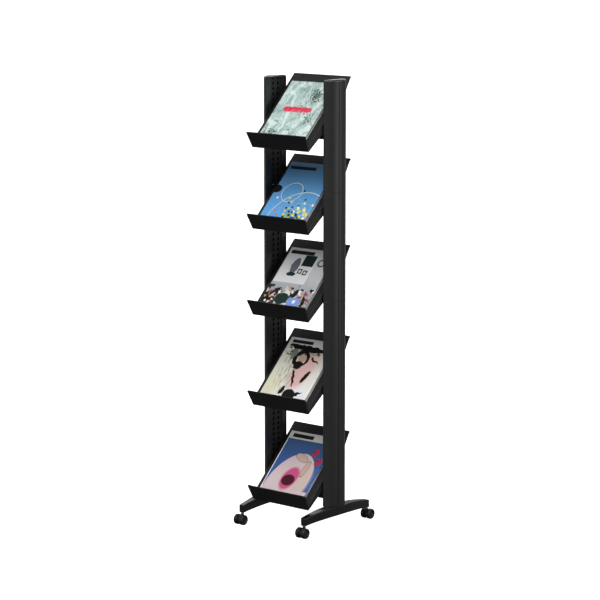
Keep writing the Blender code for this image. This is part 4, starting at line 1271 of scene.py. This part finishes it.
class RackTrays(bpy.types.PropertyGroup):
    colour: colour("Tray colour", "Moulded trays", "#111112")
    hook_colour: colour("Hook colour", "Black-passivated hook plates", "#2A2A2C")
    lean: angle("Lip lean", "Lean of the lip towards the reader", 25.8)
    lip_height: length("Lip height", "Height of the lip along its face", 0.0644)
    lip_thickness: length("Lip thickness", "Thickness of the lip", 0.0050)
    foot_width: length("Lip foot", "Half width of the lip at its foot", 0.1345)
    wall: length("Wall", "Thickness of the floor and side walls", 0.0030)
    corner: length("Corner", "Radius of the lip's and the floor's free corners", 0.0050)
    trough_radius: length("Trough", "Radius where the floor turns up into the lip", 0.0025)
    edge: length("Edge", "Rounding of the side edges", 0.0009)
    wall_rear: position("Wall corner", "Rear lower corner of the side walls, in the tray", (0.1617, 0.1232))
    wall_front: length("Wall front", "How far up the lip the side walls reach", 0.0165)
    wall_place: length("Wall place", "Distance of the side walls' outer faces from the middle", 0.1350)
    rib_place: length("Rib place", "Distance of the ribs from the middle", 0.0450)
    rib_gauge: length("Rib gauge", "Thickness of the ribs", 0.0025)
    rib_depth: length("Rib depth", "Depth of the ribs under the floor", 0.0080)
    rib_front: length("Rib front", "Where the ribs start, behind the lip's foot", 0.0300)
    rib_margin: length("Rib margin", "Distance of the ribs from the floor's rear edge", 0.0060)
    score_places: position("Scores", "Places of the shallow lines across the width", (-0.0860, 0.0350))
    score_width: length("Score width", "Width of the shallow lines", 0.0024)
    score_depth: length("Score depth", "Depth of the shallow lines at the rear edge", 0.0012)
    score_length: length("Score length", "How far down the slope the lines run", 0.0450)


class RackMagazines(bpy.types.PropertyGroup):
    page_colour: colour("Page colour", "Cut edges of the pages", "#D9D7D2")
    thickness: length("Thickness", "Thickness of a magazine", 0.0100)
    board: length("Cover board", "Thickness of the cover", 0.0004)
    bow: length("Bow", "How far the front cover's free corners lift", 0.0012)
    spine_turn: length("Spine", "Radius of the cover's turns round the spine", 0.0018)
    crease_place: length("Crease place", "Distance of the opening crease from the spine", 0.0080)
    crease_width: length("Crease width", "Width of the opening crease", 0.0040)
    crease_depth: length("Crease depth", "Depth of the opening crease", 0.0004)
    page_margin: length("Page margin", "How far the pages stay inside the cover", 0.0010)


class RackStage(bpy.types.PropertyGroup):
    azimuth: angle("Azimuth", "Direction of the camera, from the front towards the right", 40.415)
    elevation: angle("Elevation", "Height of the camera above the horizon", 9.531)
    distance: length("Distance", "Distance of the camera from the point it aims at", 8.90)
    aim: position("Aim", "Point that the camera aims at", (0.0072, -0.0343, 0.8473))
    lens: number("Lens", "Focal length in millimetres", 144.98, unit="CAMERA")
    floor_radius: length("Floor", "Radius of the floor", 90.0)
    floor_colour: colour("Floor colour", "Matt floor paint", "#F5F5F4")
    floor_glow: number("Floor glow", "Light that comes through the floor", 0.95)
    key: number("Key", "Strength of the diffused key light", 2.4)
    key_softness: angle("Key softness", "Angle that the key light's screen fills", 70)
    side_panel: number("Side panel", "Power of the panel on the right, in watts", 36.0)
    rear_panel: number("Rear panel", "Power of the panel behind, in watts", 23.0)
    surround: number("Surround", "Strength of the light from the studio's pale walls", 0.34)
    below: number("Below", "Strength of the light from under the horizon", 0.05)
    overhead_share: number("Overhead share", "The ceiling's light as a share of the walls'", 0.8)


GROUPS = {"rack_posts": RackPosts, "rack_feet": RackFeet, "rack_casters": RackCasters,
          "rack_trays": RackTrays, "rack_magazines": RackMagazines, "rack_stage": RackStage}
OPERATORS = (RACK_OT_post_shells, RACK_OT_post_rails, RACK_OT_post_caps, RACK_OT_feet, RACK_OT_foot_screws,
             RACK_OT_casters, RACK_OT_trays, RACK_OT_magazines, RACK_OT_stage)


class RACK_PT_sidebar(bpy.types.Panel):
    """Sizes, colours and build steps of the rack"""
    bl_idname = "RACK_PT_sidebar"
    bl_label = "Newspaper rack"
    bl_space_type = "VIEW_3D"
    bl_region_type = "UI"
    bl_category = "Rack"

    def draw(self, context):
        for name, group in GROUPS.items():
            box = self.layout.box()
            box.label(text=name.replace("_", " ").capitalize())
            for setting in group.__annotations__:
                box.prop(getattr(context.scene, name), setting)
        for operator in OPERATORS:
            self.layout.operator(operator.bl_idname)


CLASSES = (*GROUPS.values(), *OPERATORS, RACK_PT_sidebar)


def register():
    for cls in CLASSES:
        bpy.utils.register_class(cls)
    for name, group in GROUPS.items():
        setattr(bpy.types.Scene, name, PointerProperty(type=group))


def unregister():
    for name in GROUPS:
        delattr(bpy.types.Scene, name)
    for cls in reversed(CLASSES):
        bpy.utils.unregister_class(cls)


def main():
    register()
    bpy.ops.rack.post_shells()
    bpy.ops.rack.post_rails()
    bpy.ops.rack.post_caps()
    bpy.ops.rack.feet()
    bpy.ops.rack.foot_screws()
    bpy.ops.rack.casters()
    bpy.ops.rack.trays()
    bpy.ops.rack.magazines()
    bpy.ops.rack.stage()
    bpy.context.view_layer.update()


if __name__ == "__main__":
    main()
